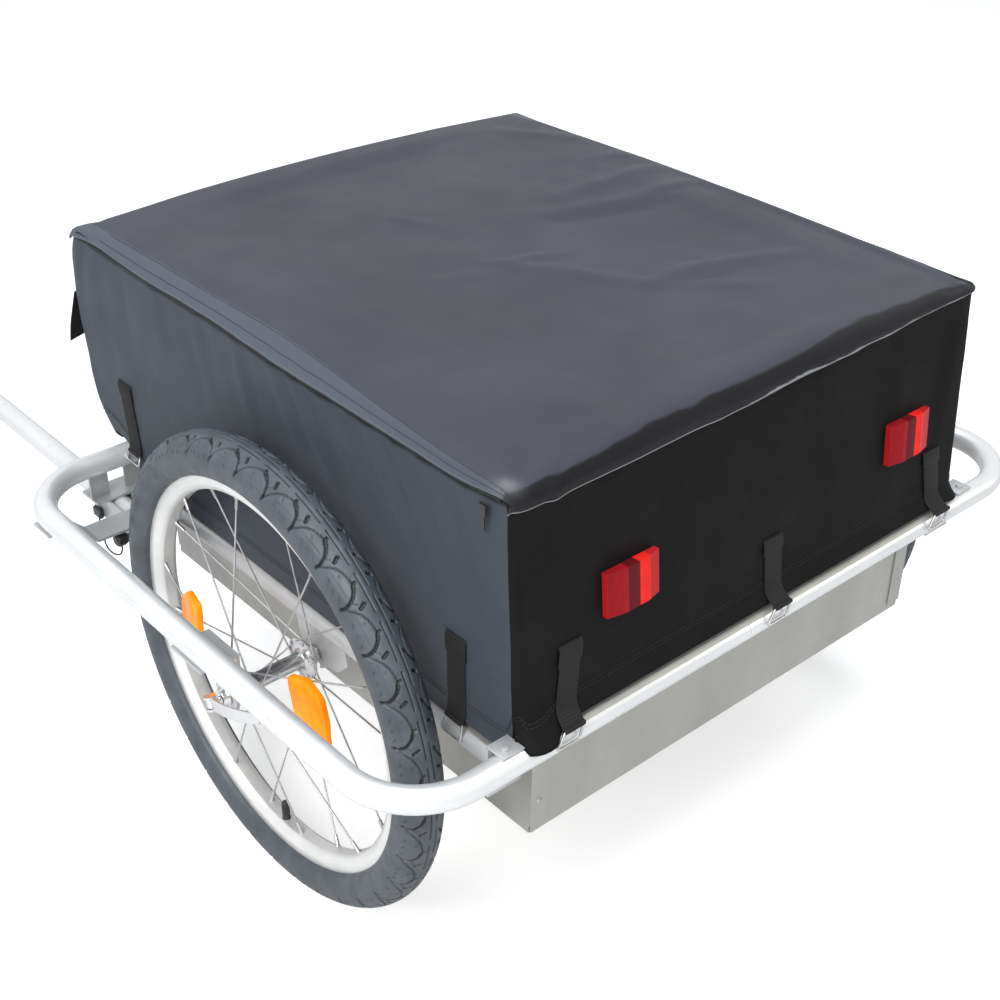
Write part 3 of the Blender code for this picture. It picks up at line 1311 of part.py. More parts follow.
def make_strap(name, path, axis, centre, loop_at, ring_low):
    """Webbing sewn to the wall, with a loop at its lower end that holds the wire ring."""
    half = STRAP_WIDTH / 2
    strap = folded_sheet(name, path, centre - half, centre + half, axis, STRAP_THICKNESS, WEBBING)
    if axis == "X":
        along = (1, 0, 0)
        upper = Vector((centre, *loop_at))
        lower = Vector((centre, *ring_low))
    else:
        along = (0, 1, 0)
        upper = Vector((loop_at[0], centre, loop_at[1]))
        lower = Vector((ring_low[0], centre, ring_low[1]))
    reach = Vector(along) * half
    loop = rod(name + "_loop", upper - reach, upper + reach, STRAP_LOOP_RADIUS, 8)
    return join(strap, loop, make_ring(name + "_ring", upper, lower, along))


def make_straps():
    """Three straps down the rear wall and two down each side, hooked over the loop and the rails."""
    skin = SEAT + STRAP_THICKNESS / 2
    end_y = LOOP_REAR - STRAP_END_RADIUS * cos(radians(30))
    end_z = LOOP_Z + STRAP_END_RADIUS * sin(radians(30)) + 0.001
    ring_low = (LOOP_REAR - TUBE_RADIUS - SEAT - RING_WIRE - 0.0002, LOOP_Z - 0.002)
    top = COVER_SHOULDER + STRAP_LENGTH
    bend = radians(118)
    skirt = HEM_RADIUS + skin + 0.0002
    path = [
        (rear_wall_y(top) - skin, top),
        (COVER_REAR - skin, COVER_SHOULDER + 0.001),
        (LOOP_REAR + skirt * cos(bend), LOOP_Z + skirt * sin(bend) + SEAT),
        (end_y, end_z),
    ]
    for name, x in REAR_STRAPS:
        make_strap(name, path, "X", x, (end_y, end_z), ring_low)

    bracket_top = LOOP_TOP + SEAT + BRACKET_THICKNESS
    rail_side = RAIL_X + RAIL_RADIUS + RING_WIRE + 2 * SEAT
    bottom = COVER_BOTTOM_HALF_WIDTH + skin
    rear_low = (rail_side, RAIL_Z + 0.002)
    front_low = (bottom + 0.007, bracket_top + RING_WIRE + SEAT)
    places = (
        ("rear", LOOP_REAR + SIDE_STRAP_REAR_SETBACK, HEM_SIDE_Z, rear_low),
        ("front", LOOP_FRONT - SIDE_STRAP_FRONT_SETBACK, bracket_top + SIDE_STRAP_LIFT, front_low),
    )
    for tag, y, foot_z, low in places:
        top_z = foot_z + SIDE_STRAP_LENGTH
        bend_z = foot_z + SIDE_STRAP_BEND
        for side_name, sign in (("left", -1), ("right", 1)):
            end = (sign * (bottom + 0.0015), foot_z + 0.0045)
            path = [
                (sign * (side_wall_x(top_z) + skin), top_z),
                (sign * (side_wall_x(bend_z) + skin), bend_z),
                end,
            ]
            make_strap(f"strap_{side_name}_{tag}", path, "Y", y, end, (sign * low[0], low[1]))


def make_tail_reflectors():
    """Faceted lenses on the rear wall, upright facets left, middle and right."""
    z = LOOP_Z + TAIL_REFLECTOR_ABOVE_LOOP
    half = TAIL_REFLECTOR_WIDTH / 2
    facet = half * 0.45
    depth = TAIL_REFLECTOR_DEPTH
    shallow = depth * 0.6
    outline = [(-half, 0), (half, 0), (half, shallow), (facet, depth), (-facet, depth), (-half, shallow)]
    rise = Vector((0, rear_wall_y(z + 0.01) - rear_wall_y(z), 0.01)).normalized()
    outward = Vector((1, 0, 0)).cross(rise)
    for name, x in TAIL_REFLECTORS:
        origin = Vector((x, rear_wall_y(z), z)) + outward * SEAT
        place = frame_matrix(origin, (-1, 0, 0), outward, rise)
        plate(name, [outline], TAIL_REFLECTOR_HEIGHT, place, RED)


def make_zip_sliders():
    """A slider and pull tab on each side, at the closed end of its zip below the lid's skirt."""
    half_length = ZIP_SLIDER_LENGTH / 2
    half_height = ZIP_SLIDER_HEIGHT / 2
    z = LID_BOTTOM + FABRIC - LID_SKIRT - RUNNING - half_height
    y = LOOP_REAR + COVER_TOP_REAR + COVER_CORNER + ZIP_FROM_CORNER
    pull_low = ZIP_PULL_LENGTH + half_height
    for side_name, sign in (("left", -1), ("right", 1)):
        face = side_wall_x(z) + RUNNING + SEAT
        axis = empty(f"zip_{side_name}_axis", (sign * face, y, z), ROOT)
        body = sorted((0, sign * ZIP_SLIDER_DEPTH))
        low = (body[0], -half_length, -half_height)
        slider = block(f"zip_slider_{side_name}", low, (body[1], half_length, half_height), BLACK, axis)
        tab = sorted((sign * 0.001, sign * (0.001 + ZIP_PULL_THICKNESS)))
        low = (tab[0], -ZIP_PULL_WIDTH / 2, -pull_low)
        join(slider, block("zip_pull", low, (tab[1], ZIP_PULL_WIDTH / 2, -half_height / 2), parent=axis))


for NAME, SIDE in (("left", -1), ("right", 1)):
    make_wheel(NAME, SIDE)
    make_axle(NAME, SIDE)
    make_lever(NAME, SIDE, make_skewer(NAME, SIDE))
make_loop()
make_side_rails()
make_corner_brackets()
make_dropouts()
make_tub_pan()
make_end_panel("tub_rear_panel", TUB_REAR, LOOP_REAR, -1)
make_end_panel("tub_front_panel", TUB_FRONT, LOOP_FRONT, 1)
ARM_Z, CHANNEL_REAR, CHANNEL_FRONT, PIN_Y, PIN_HOLE = make_arm_socket()
ARM_FRONT = make_tow_arm(ARM_Z, CHANNEL_REAR + 0.002, PIN_HOLE)
KNOB_FACE = make_lock_pin(ARM_Z, PIN_Y)
make_tether(ARM_Z, PIN_Y, KNOB_FACE, CHANNEL_FRONT)
YAW_Y = make_yoke(ARM_Z, ARM_FRONT)
PITCH_Y = make_swivel(ARM_Z, YAW_Y)
make_coupler(ARM_Z, PITCH_Y)
make_hoops()
make_cover_walls()
make_cover_lid()
make_straps()
make_tail_reflectors()
make_zip_sliders()
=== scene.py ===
"""A bicycle cargo trailer dressed for the studio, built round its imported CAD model."""

from math import cos, exp, hypot, pi, radians, sin, sqrt

import bmesh
import bpy
from mathutils import Matrix, Vector, noise


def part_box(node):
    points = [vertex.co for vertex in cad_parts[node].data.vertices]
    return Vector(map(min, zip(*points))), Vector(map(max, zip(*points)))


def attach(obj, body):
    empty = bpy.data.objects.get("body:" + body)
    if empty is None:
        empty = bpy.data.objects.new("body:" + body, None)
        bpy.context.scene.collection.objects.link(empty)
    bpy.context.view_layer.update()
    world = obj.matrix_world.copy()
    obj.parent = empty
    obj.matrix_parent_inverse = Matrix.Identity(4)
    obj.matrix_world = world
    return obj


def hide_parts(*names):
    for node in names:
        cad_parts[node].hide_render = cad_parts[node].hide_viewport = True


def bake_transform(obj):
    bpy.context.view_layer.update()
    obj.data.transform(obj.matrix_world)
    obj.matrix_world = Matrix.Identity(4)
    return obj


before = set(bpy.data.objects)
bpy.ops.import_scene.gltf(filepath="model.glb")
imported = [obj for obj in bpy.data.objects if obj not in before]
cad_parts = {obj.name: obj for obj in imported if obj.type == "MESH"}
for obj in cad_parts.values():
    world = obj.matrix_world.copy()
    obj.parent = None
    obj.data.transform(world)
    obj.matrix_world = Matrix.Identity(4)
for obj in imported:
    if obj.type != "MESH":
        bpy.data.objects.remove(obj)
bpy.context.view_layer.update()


# Studio and camera
# A white sweep under a soft high key from the left, and a camera behind the left rear
# corner that looks down on the cover.
tyre_low, tyre_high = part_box("tyre_left")
AXLE_Y = (tyre_low.y + tyre_high.y) / 2
FLOOR_REACH = 9
FLOOR_GLOW = 0.50
studio = bpy.context.scene
studio.view_settings.view_transform = "Standard"


def plug(tree, value, socket):
    """Give a socket another socket's output, or a plain value."""
    if isinstance(value, bpy.types.NodeSocket):
        tree.links.new(value, socket)
    else:
        socket.default_value = value


def combine(tree, operation, a, b):
    """Two values put together by a sum. Each is a socket or a plain number."""
    node = tree.nodes.new("ShaderNodeMath")
    node.operation = operation
    plug(tree, a, node.inputs[0])
    plug(tree, b, node.inputs[1])
    return node.outputs[0]


def surface(name, **plain):
    """A new material with its node tree and its shader, some of whose sockets have plain values."""
    material = bpy.data.materials.new(name)
    material.use_nodes = True
    shader = material.node_tree.nodes["Principled BSDF"]
    for socket, value in plain.items():
        shader.inputs[socket.replace("_", " ")].default_value = value
    return material, material.node_tree, shader


sky = bpy.data.worlds.new("studio_sky")
studio.world = sky
sky.use_nodes = True
tree = sky.node_tree
tree.nodes.clear()
rays = tree.nodes.new("ShaderNodeLightPath").outputs
white_rays = combine(tree, "MAXIMUM", rays["Is Camera Ray"], rays["Is Glossy Ray"])
pick_sky = tree.nodes.new("ShaderNodeMixShader")
plug(tree, combine(tree, "MAXIMUM", white_rays, rays["Is Transmission Ray"]), pick_sky.inputs[0])
for place, colour, strength in ((1, (0.86, 0.92, 1.0, 1), 0.42), (2, (1, 1, 1, 1), 1.0)):
    background = tree.nodes.new("ShaderNodeBackground")
    background.inputs["Color"].default_value = colour
    background.inputs["Strength"].default_value = strength
    plug(tree, background.outputs[0], pick_sky.inputs[place])
plug(tree, pick_sky.outputs[0], tree.nodes.new("ShaderNodeOutputWorld").inputs["Surface"])

floor_paint, tree, shader = surface(
    "studio_floor_paint", Base_Color=(0.82, 0.82, 0.82, 1), Roughness=0.9, Specular_IOR_Level=0.0,
    Emission_Color=(1, 1, 1, 1))
rays = tree.nodes.new("ShaderNodeLightPath").outputs
plug(tree, combine(tree, "MULTIPLY", rays["Is Camera Ray"], FLOOR_GLOW), shader.inputs["Emission Strength"])
floor_mesh = bpy.data.meshes.new("studio_floor")
floor_corners = [(x * FLOOR_REACH, y * FLOOR_REACH, 0) for x, y in ((-1, -1), (1, -1), (1, 1), (-1, 1))]
floor_mesh.from_pydata(floor_corners, [], [(0, 1, 2, 3)])
floor_mesh.materials.append(floor_paint)
studio_floor = bpy.data.objects.new("studio_floor", floor_mesh)
studio.collection.objects.link(studio_floor)


def softbox(name, place, aim, size, watts, colour):
    """A square light that points at a place."""
    light = bpy.data.lights.new(name, "AREA")
    light.size = size
    light.energy = watts
    light.color = colour
    lamp = bpy.data.objects.new(name, light)
    lamp.location = place
    lamp.rotation_euler = (Vector(aim) - Vector(place)).to_track_quat("-Z", "Y").to_euler()
    studio.collection.objects.link(lamp)


softbox("key_left", (-2.9, AXLE_Y - 0.7, 3.0), (0, AXLE_Y, 0.3), 2.2, 118, (1.0, 0.985, 0.96))
softbox("overhead", (0.2, AXLE_Y, 3.2), (0, AXLE_Y, 0.3), 2.6, 60, (0.93, 0.96, 1.0))
softbox("fill_rear_right", (2.6, AXLE_Y - 2.4334, 1.7), (0.1, AXLE_Y - 0.1, 0.3), 1.6, 17, (1.0, 0.90, 0.72))
softbox("fill_rear_left", (-2.4, AXLE_Y - 2.2, 1.5), (-0.3, AXLE_Y - 0.25, 0.4), 1.4, 25, (1.0, 0.98, 0.96))

camera_data = bpy.data.cameras.new("photo_view")
camera_data.lens = 55.2
camera_data.sensor_width = 36.0
photo_view = bpy.data.objects.new("photo_view", camera_data)
camera_turn = Matrix((
    (0.75377, 0.34471, -0.55947), (-0.65709, 0.40603, -0.63512), (0.00823, 0.84635, 0.53256)))
camera_place = (-0.96342, AXLE_Y - 1.02848, 1.19223)
photo_view.matrix_world = Matrix.Translation(camera_place) @ camera_turn.to_4x4()
studio.collection.objects.link(photo_view)
studio.camera = photo_view


# Tether of the lock pin
# A thin black cord, moulded in soft vinyl, from the clip on the arm's socket to the lock pin's knob.
# It hangs in one short loop.
def on_trailer(x, y, z):
    """A place given from the ground under the axle."""
    return Vector((x, y + AXLE_Y, z))


def smooth_line(points, steps):
    """A curve through a few points, in even parameter steps."""
    points = [Vector(p) for p in points]
    ends = [2 * points[0] - points[1]] + points + [2 * points[-1] - points[-2]]
    line = []
    for a, b, c, d in zip(ends, ends[1:], ends[2:], ends[3:]):
        for i in range(steps):
            t = i / steps
            eased = 2 * b + (c - a) * t + (2 * a - 5 * b + 4 * c - d) * t * t
            line.append(0.5 * (eased + (3 * b - a - 3 * c + d) * t**3))
    line.append(points[-1])
    return line


def texture_place(tree):
    return tree.nodes.new("ShaderNodeTexCoord").outputs["Object"]


def grain(tree, scale, detail=4, roughness=0.55, stretch=None):
    """Noise in the piece's own space, its strength out of the Fac socket."""
    field = tree.nodes.new("ShaderNodeTexNoise")
    field.inputs["Scale"].default_value = scale
    field.inputs["Detail"].default_value = detail
    field.inputs["Roughness"].default_value = roughness
    place = texture_place(tree)
    if stretch:
        mapping = tree.nodes.new("ShaderNodeMapping")
        mapping.inputs["Scale"].default_value = stretch
        tree.links.new(place, mapping.inputs["Vector"])
        place = mapping.outputs["Vector"]
    tree.links.new(place, field.inputs["Vector"])
    return field.outputs["Fac"]


def ramp(tree, value, stops):
    """Colours along a value. Each stop is a place and a colour or grey."""
    node = tree.nodes.new("ShaderNodeValToRGB")
    elements = node.color_ramp.elements
    while len(elements) < len(stops):
        elements.new(0.5)
    for element, (place, colour) in zip(elements, stops):
        element.position = place
        element.color = (colour, colour, colour, 1) if isinstance(colour, (int, float)) else (*colour, 1)
    tree.links.new(value, node.inputs["Fac"])
    return node.outputs["Color"]


def tones(tree, shader, socket, field, low, high, ends=(0.3, 0.7)):
    """Spread a socket of the shader between two colours or greys by a field."""
    tree.links.new(ramp(tree, field, ((ends[0], low), (ends[1], high))), shader.inputs[socket])


def relief(tree, shader, height, distance, strength=1.0):
    """Bump from a height. Further calls add to the first."""
    bump = tree.nodes.new("ShaderNodeBump")
    bump.inputs["Distance"].default_value = distance
    bump.inputs["Strength"].default_value = strength
    tree.links.new(height, bump.inputs["Height"])
    before = shader.inputs["Normal"]
    if before.is_linked:
        tree.links.new(before.links[0].from_socket, bump.inputs["Normal"])
    tree.links.new(bump.outputs["Normal"], before)


def soft_black(name, colour, smooth, rough):
    """Matt black plastic with a fine moulded grain."""
    material, tree, shader = surface(name)
    tones(tree, shader, "Base Color", grain(tree, 60), [c * 0.8 for c in colour], [c * 1.3 for c in colour])
    tones(tree, shader, "Roughness", grain(tree, 140), smooth, rough)
    relief(tree, shader, grain(tree, 900, 3), 0.0002, 0.35)
    return material


TETHER_THICK = 0.002
tether_vinyl = soft_black("tether_vinyl", (0.022, 0.022, 0.024), 0.38, 0.55)
tether_route = [
    (-0.3436, 0.3580, 0.2526),
    (-0.3436, 0.3580, 0.2466),
    (-0.3459, 0.3500, 0.2366),
    (-0.3519, 0.3320, 0.2306),
    (-0.3570, 0.3075, 0.2353),
    (-0.3590, 0.2855, 0.2453),
    (-0.3590, 0.2775, 0.2563),
    (-0.3590, 0.2775, 0.2613),
]
tether_curve = bpy.data.curves.new("pin_tether_cord", "CURVE")
tether_curve.dimensions = "3D"
tether_curve.bevel_depth = TETHER_THICK / 2
tether_curve.bevel_resolution = 4
tether_curve.use_fill_caps = True
tether_points = [on_trailer(*p) for p in smooth_line(tether_route, 4)]
tether_spline = tether_curve.splines.new("POLY")
tether_spline.points.add(len(tether_points) - 1)
for spline_point, place in zip(tether_spline.points, tether_points):
    spline_point.co = (*place, 1)
tether_curve.materials.append(tether_vinyl)
pin_tether_cord = bpy.data.objects.new("pin_tether_cord", tether_curve)
studio.collection.objects.link(pin_tether_cord)
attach(pin_tether_cord, "frame")
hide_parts("pin_tether")


# Tyres
# Black rubber with a road tread: scalloped blocks down each side of a slotted centre, and a smooth
# sidewall with raised rings. Moulded in one piece and held on the rim's bead seats.
SIDES = (("left", -1), ("right", 1))
WHEEL_X = 0.350
AXLE_Z = 0.25
TYRE_MIDDLE = 0.2266
TYRE_HALF_HEIGHT = 0.0234
TYRE_HALF_WIDTH = 0.0235
TREAD_REPEATS = 34
TREAD_STEPS = 48
TREAD_ROWS = 64
TREAD_PITCH = 0.0463
TREAD_HALF = 0.034
TREAD_START = radians(79.1)
GROOVE_WALL = 0.45
GROOVE_DEEP = 0.0023


def plain_mesh(name, parts):
    """One mesh from lists of vertices and faces, with all faces turned outward."""
    verts, faces = [], []
    for part_verts, part_faces in parts:
        base = len(verts)
        verts += [tuple(v) for v in part_verts]
        faces += [tuple(base + k for k in face) for face in part_faces]
    mesh = bpy.data.meshes.new(name)
    mesh.from_pydata(verts, [], faces)
    bm = bmesh.new()
    bm.from_mesh(mesh)
    bmesh.ops.recalc_face_normals(bm, faces=bm.faces)
    bm.to_mesh(mesh)
    bm.free()
    return mesh


def make_piece(name, shape, material, body, slot, *replaced):
    """Link a piece that rides on a body. Its shape is a mesh, or lists of vertices and faces."""
    mesh = shape if isinstance(shape, bpy.types.Mesh) else plain_mesh(f"{name}_mesh", shape)
    mesh.shade_smooth()
    mesh.set_sharp_from_angle(angle=radians(38))
    if material:
        mesh.materials.append(material)
    piece = bpy.data.objects.new(name, mesh)
    studio.collection.objects.link(piece)
    if body:
        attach(piece, body)
    if replaced:
        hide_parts(*replaced)
    return piece


def grid_faces(rows, columns, closed_rows=False, closed_columns=False):
    """Quads over a grid of vertices stored row by row."""
    faces = []
    for i in range(rows if closed_rows else rows - 1):
        here, below = i * columns, (i + 1) % rows * columns
        for j in range(columns if closed_columns else columns - 1):
            k = (j + 1) % columns
            faces.append((here + j, below + j, below + k, here + k))
    return faces


def to_segment(px, py, a, b):
    """How far a place is from a straight line between two points, and how far along it is nearest."""
    dx, dy = b[0] - a[0], b[1] - a[1]
    share = max(0.0, min(1.0, ((px - a[0]) * dx + (py - a[1]) * dy) / (dx * dx + dy * dy)))
    return hypot(px - a[0] - share * dx, py - a[1] - share * dy), share


# Each groove is a line in millimetres, along the tread and out from its middle, with half its width
# and its depth. The last one is in the centre, the others make the scalloped blocks.
TREAD_GROOVES = (
    (((0, 31.5), (0.8, 27), (0.4, 22), (-1.5, 17.5), (-5, 13.6), (-9, 11)), 1.15, 2.3),
    (((-9, 11), (-13, 9.6), (-14.6, 7.4)), 1.35, 2.3),
    (((-14, 9.6), (-20, 9.8), (-27, 11.6), (-33, 15), (-38, 19.6), (-42, 25), (-45, 28)), 0.6, 1.2),
    (((5.2, 8.6), (7.6, 12.8)), 1.3, 2.3),
    (((-0.5, 19), (3, 15), (6.5, 12.4)), 0.4, 0.6),
    (((-29, 26), (-26, 28.6)), 0.5, 0.8),
    (((-19, 27), (-16.5, 29)), 0.5, 0.8),
    (((-9, 27), (-6.5, 29.5)), 0.5, 0.8),
    (((-33, 21), (-6, 20.4)), 0.32, 0.35),
    (((-26, 15.4), (-23.5, 17.4)), 0.5, 0.7),
    (((-21, 3.1), (15, 3.1)), 0.62, 1.6),
)
# The moulded rings of the sidewall: an angle from the crown, half a width and a height.
SIDEWALL_RINGS = (
    (radians(84.5), 0.012, 0.0004), (radians(89), 0.012, -0.0003), (radians(118), 0.016, 0.0006))


def tread_depth(along, out):
    """How far the tread is cut back at a place, from 0 at the surface. One side is half a pitch on."""
    pitch = TREAD_PITCH * 1000
    along = (along / TREAD_PITCH + (0.5 if out < 0 else 0)) * TREAD_PITCH * 1000
    along -= pitch * round(along / pitch)
    out = abs(out) * 1000
    depth = 0
    for line, half, deep in TREAD_GROOVES:
        nearest = 99
        for a, b in zip(line, line[1:]):
            for turn in (-pitch, 0, pitch):
                if min(a[0], b[0]) - 3 < along + turn < max(a[0], b[0]) + 3:
                    nearest = min(nearest, to_segment(along + turn, out, a, b)[0])
        cut = max(0.0, min(1.0, (half + GROOVE_WALL - nearest) / GROOVE_WALL))
        depth = max(depth, cut * deep)
    return depth / 1000


tread_cell = []
for j in range(TREAD_ROWS + 1):
    out = -TREAD_HALF + 2 * TREAD_HALF * j / TREAD_ROWS
    tread_cell.append([tread_depth(TREAD_PITCH * i / TREAD_STEPS, out) for i in range(TREAD_STEPS)])

# The section runs from one bead round to the other: an angle, a row of the tread or nothing, and a
# (radius, across) place for a bead.
tyre_section = [(0, None, (0.2091, 0.0131)), (0, None, (0.2097, 0.0150))]
tyre_section += [(radians(-44 + 51 * j / 11), None, None) for j in range(11)]
for j in range(TREAD_ROWS + 1):
    angle = pi / 2 - (TREAD_HALF - 2 * TREAD_HALF * j / TREAD_ROWS) / TYRE_HALF_WIDTH
    tyre_section.append((angle, TREAD_ROWS - j, None))
tyre_section += [(radians(173 + 51 * j / 11), None, None) for j in range(1, 12)]
tyre_section += [(0, None, (0.2097, -0.0150)), (0, None, (0.2091, -0.0131))]


def make_tyre(side_name, outboard):
    """One tyre in its wheel's place. The mesh carries the tread's depth, which the material uses to paint
    shade into the grooves.
    """
    count = TREAD_REPEATS * TREAD_STEPS
    verts, cut = [], []
    for i in range(count):
        turn = 2 * pi * i / count + TREAD_START
        c, s = cos(turn), sin(turn)
        for angle, row, bead in tyre_section:
            depth = tread_cell[row][i % TREAD_STEPS] if row is not None else 0
            low = abs(angle - pi / 2)
            ring = sum(high * exp(-(((low - place) / wide) ** 2)) for place, wide, high in SIDEWALL_RINGS)
            radius = TYRE_MIDDLE + (TYRE_HALF_HEIGHT - depth + ring) * sin(angle)
            across = (TYRE_HALF_WIDTH - depth + ring) * cos(angle)
            if bead:
                radius, across = bead
            verts.append((outboard * (WHEEL_X + across), AXLE_Y + radius * c, AXLE_Z + radius * s))
            cut.append(depth / GROOVE_DEEP)
    faces = grid_faces(count, len(tyre_section), closed_rows=True)
    name = f"tyre_with_tread_{side_name}"
    mesh = bpy.data.meshes.new(name)
    mesh.from_pydata(verts, [], [face[::outboard] for face in faces])
    mesh.attributes.new("tread_cut", "FLOAT", "POINT").data.foreach_set("value", cut)
    mesh.update()
    make_piece(name, mesh, tyre_black, f"wheel_{side_name}", "tyre_rubber", f"tyre_{side_name}")


def attribute(tree, name):
    """A value that the mesh carries at each of its points."""
    node = tree.nodes.new("ShaderNodeAttribute")
    node.attribute_name = name
    return node.outputs["Fac"]


def colour_mix(tree, factor, a, b, blend_type="MIX"):
    """Two colours mixed. Each input is a socket or a plain value."""
    mix = tree.nodes.new("ShaderNodeMix")
    mix.data_type = "RGBA"
    mix.blend_type = blend_type
    for name, value in (("Factor", factor), ("A", a), ("B", b)):
        plug(tree, value, mix.inputs[name])
    return mix.outputs["Result"]


tyre_black, tree, shader = surface("tyre_rubber_dust_and_painted_groove_shade")
dust = ramp(tree, grain(tree, 45, 6, 0.6), ((0.32, (0.044, 0.053, 0.063)), (0.70, (0.076, 0.089, 0.104))))
# Painted shade: the dusty rubber colour goes near black down each groove by its depth, standing in for the
# shade inside the tread.
wear_and_painted_groove_shade = colour_mix(tree, attribute(tree, "tread_cut"), dust, (0.006, 0.006, 0.007, 1))
plug(tree, wear_and_painted_groove_shade, shader.inputs["Base Color"])
tones(tree, shader, "Roughness", grain(tree, 70, 5), 0.40, 0.56)
relief(tree, shader, grain(tree, 1400, 3), 0.0003, 0.3)
relief(tree, shader, grain(tree, 130, 4), 0.0006, 0.25)
for side_name, outboard in SIDES:
    make_tyre(side_name, outboard)


# Rims
# Single-wall aluminium rims for rim-braked wheels, extruded and rolled, with a satin clear finish
# and a joint opposite the valve.
def in_wheel(point, outboard):
    """A place given from a wheel's middle, with outboard as +X."""
    return Vector((outboard * (WHEEL_X + point[0]), AXLE_Y + point[1], AXLE_Z + point[2]))


def lathe(profile, steps, outboard):
    """Turn a closed profile of (radius, across) about a wheel's axle."""
    verts = []
    for i in range(steps):
        turn = 2 * pi * i / steps
        verts += [in_wheel((across, r * cos(turn), r * sin(turn)), outboard) for r, across in profile]
    return verts, grid_faces(steps, len(profile), closed_rows=True, closed_columns=True)


def mirror(profile):
    """The other half of a profile that is the same on both sides of the wheel's middle."""
    return [(radius, -across) for radius, across in reversed(profile)]


def rounded(points, radius, steps=3):
    """A closed outline with its corners rounded."""
    line = []
    count = len(points)
    for i in range(count):
        before, corner, after = Vector(points[i - 1]), Vector(points[i]), Vector(points[(i + 1) % count])
        reach = min(radius, (before - corner).length / 2.2, (after - corner).length / 2.2)
        a = corner + (before - corner).normalized() * reach
        b = corner + (after - corner).normalized() * reach
        for k in range(steps + 1):
            t = k / steps
            line.append(tuple(a.lerp(corner, t).lerp(corner.lerp(b, t), t)))
    return line


def metal(name, metallic, clouds, low, high, wear, smooth, rough):
    """Metal whose colour and roughness wander, each with its noise's scale and detail."""
    material, tree, shader = surface(name, Metallic=metallic)
    tones(tree, shader, "Base Color", grain(tree, *clouds), low, high)
    tones(tree, shader, "Roughness", grain(tree, *wear), smooth, rough)
    return material, tree, shader


rim_outer = [(0.2095, 0.0130), (0.2095, 0.0112), (0.2032, 0.0112), (0.1990, 0.0070)]
rim_inner = [(0.2002, -0.0130), (0.1950, -0.0095), (0.1926, -0.0058)]
rim_section = rounded(rim_outer + mirror(rim_outer) + rim_inner + mirror(rim_inner), 0.0012, 2)

rim_satin, tree, shader = metal(
    "rim_satin_alloy", 0.55, (30, 5), (0.70, 0.705, 0.70), (0.80, 0.80, 0.79), (120, 5), 0.30, 0.42)
relief(tree, shader, grain(tree, 1500, 3), 0.0002, 0.2)

for side_name, outboard in SIDES:
    rim = lathe(rim_section, 180, outboard)
    name, body = f"rim_band_{side_name}", f"wheel_{side_name}"
    make_piece(name, [rim], rim_satin, body, "rim_alloy", f"rim_{side_name}")


# Hubs and spokes
# A slim steel hub with two drilled flanges, laced with 20 plain spokes. Each spoke has a bent head
# in its flange and a brass nipple in the rim.
SPOKES_A_SIDE = 10
FLANGE_CIRCLE = 0.019
FLANGE_X = 0.035
RIM_SEAT = 0.1926
CROSSING = radians(72)


def path_frames(points, cyclic=False):
    """An upright pair of directions across a line at each of its points, carried along without twist."""
    count = len(points)
    tangents = []
    for i in range(count):
        if cyclic:
            ahead, back = points[(i + 1) % count], points[i - 1]
        else:
            ahead, back = points[min(i + 1, count - 1)], points[max(i - 1, 0)]
        tangents.append((ahead - back).normalized())
    side = tangents[0].orthogonal().normalized()
    frames = []
    for tangent in tangents:
        side = (side - tangent * side.dot(tangent)).normalized()
        frames.append((side, tangent.cross(side)))
    return frames


def circle(point, u, v, radius, sides):
    """Places round a point, in the plane of two directions."""
    turns = [2 * pi * k / sides for k in range(sides)]
    return [point + (u * cos(turn) + v * sin(turn)) * radius for turn in turns]


def end_caps(verts, sides):
    """The faces that close a bar's first and last rings."""
    return [tuple(range(sides)), tuple(len(verts) - 1 - k for k in range(sides))]


def sweep(points, radii, sides=12, cyclic=False):
    """A round bar along a line. The radii are one number, or one for each point."""
    points = [Vector(p) for p in points]
    if isinstance(radii, (int, float)):
        radii = [radii] * len(points)
    verts = []
    for point, radius, (u, v) in zip(points, radii, path_frames(points, cyclic)):
        verts += circle(point, u, v, radius, sides)
    faces = grid_faces(len(points), sides, closed_rows=cyclic, closed_columns=True)
    return verts, faces if cyclic else faces + end_caps(verts, sides)


def leading(index):
    """Which way a spoke leaves its flange: 1 or -1."""
    return 1 if index % 2 == 0 else -1


def lacing(side, index):
    """A spoke's place in its flange and in the rim, from the wheel's middle. Outboard is +X here."""
    rim_angle = radians(27 + 36 * index) + (radians(18) if side > 0 else 0)
    lead = leading(index)
    hub_angle = rim_angle + lead * CROSSING
    hub_x, rim_x = side * FLANGE_X - lead * 0.0018, side * 0.003 - lead * 0.0012
    hub = Vector((hub_x, FLANGE_CIRCLE * cos(hub_angle), FLANGE_CIRCLE * sin(hub_angle)))
    rim = Vector((rim_x, RIM_SEAT * cos(rim_angle), RIM_SEAT * sin(rim_angle)))
    return hub, rim


hub_half = [
    (0.0105, 0.0445), (0.0125, 0.0435), (0.0135, 0.0390), (0.0150, 0.0368), (0.0225, 0.0365),
    (0.0225, 0.0335), (0.0120, 0.0330), (0.0092, 0.0310), (0.0085, 0.0270),
]
hub_outline = hub_half + [(0.0085, 0.0)] + mirror(hub_half) + [(0.0062, -0.0435), (0.0062, 0.0435)]

hub_steel, tree, shader = metal(
    "hub_bright_steel", 1.0, (50, 5), (0.52, 0.52, 0.53), (0.66, 0.66, 0.66), (200, 4), 0.16, 0.30)
relief(tree, shader, grain(tree, 700, 3, stretch=(1, 0.1, 0.1)), 0.0001, 0.3)
spoke_steel = metal(
    "spoke_plated_steel", 0.9, (60, 4), (0.42, 0.42, 0.43), (0.58, 0.58, 0.58), (220, 4), 0.26, 0.40)[0]

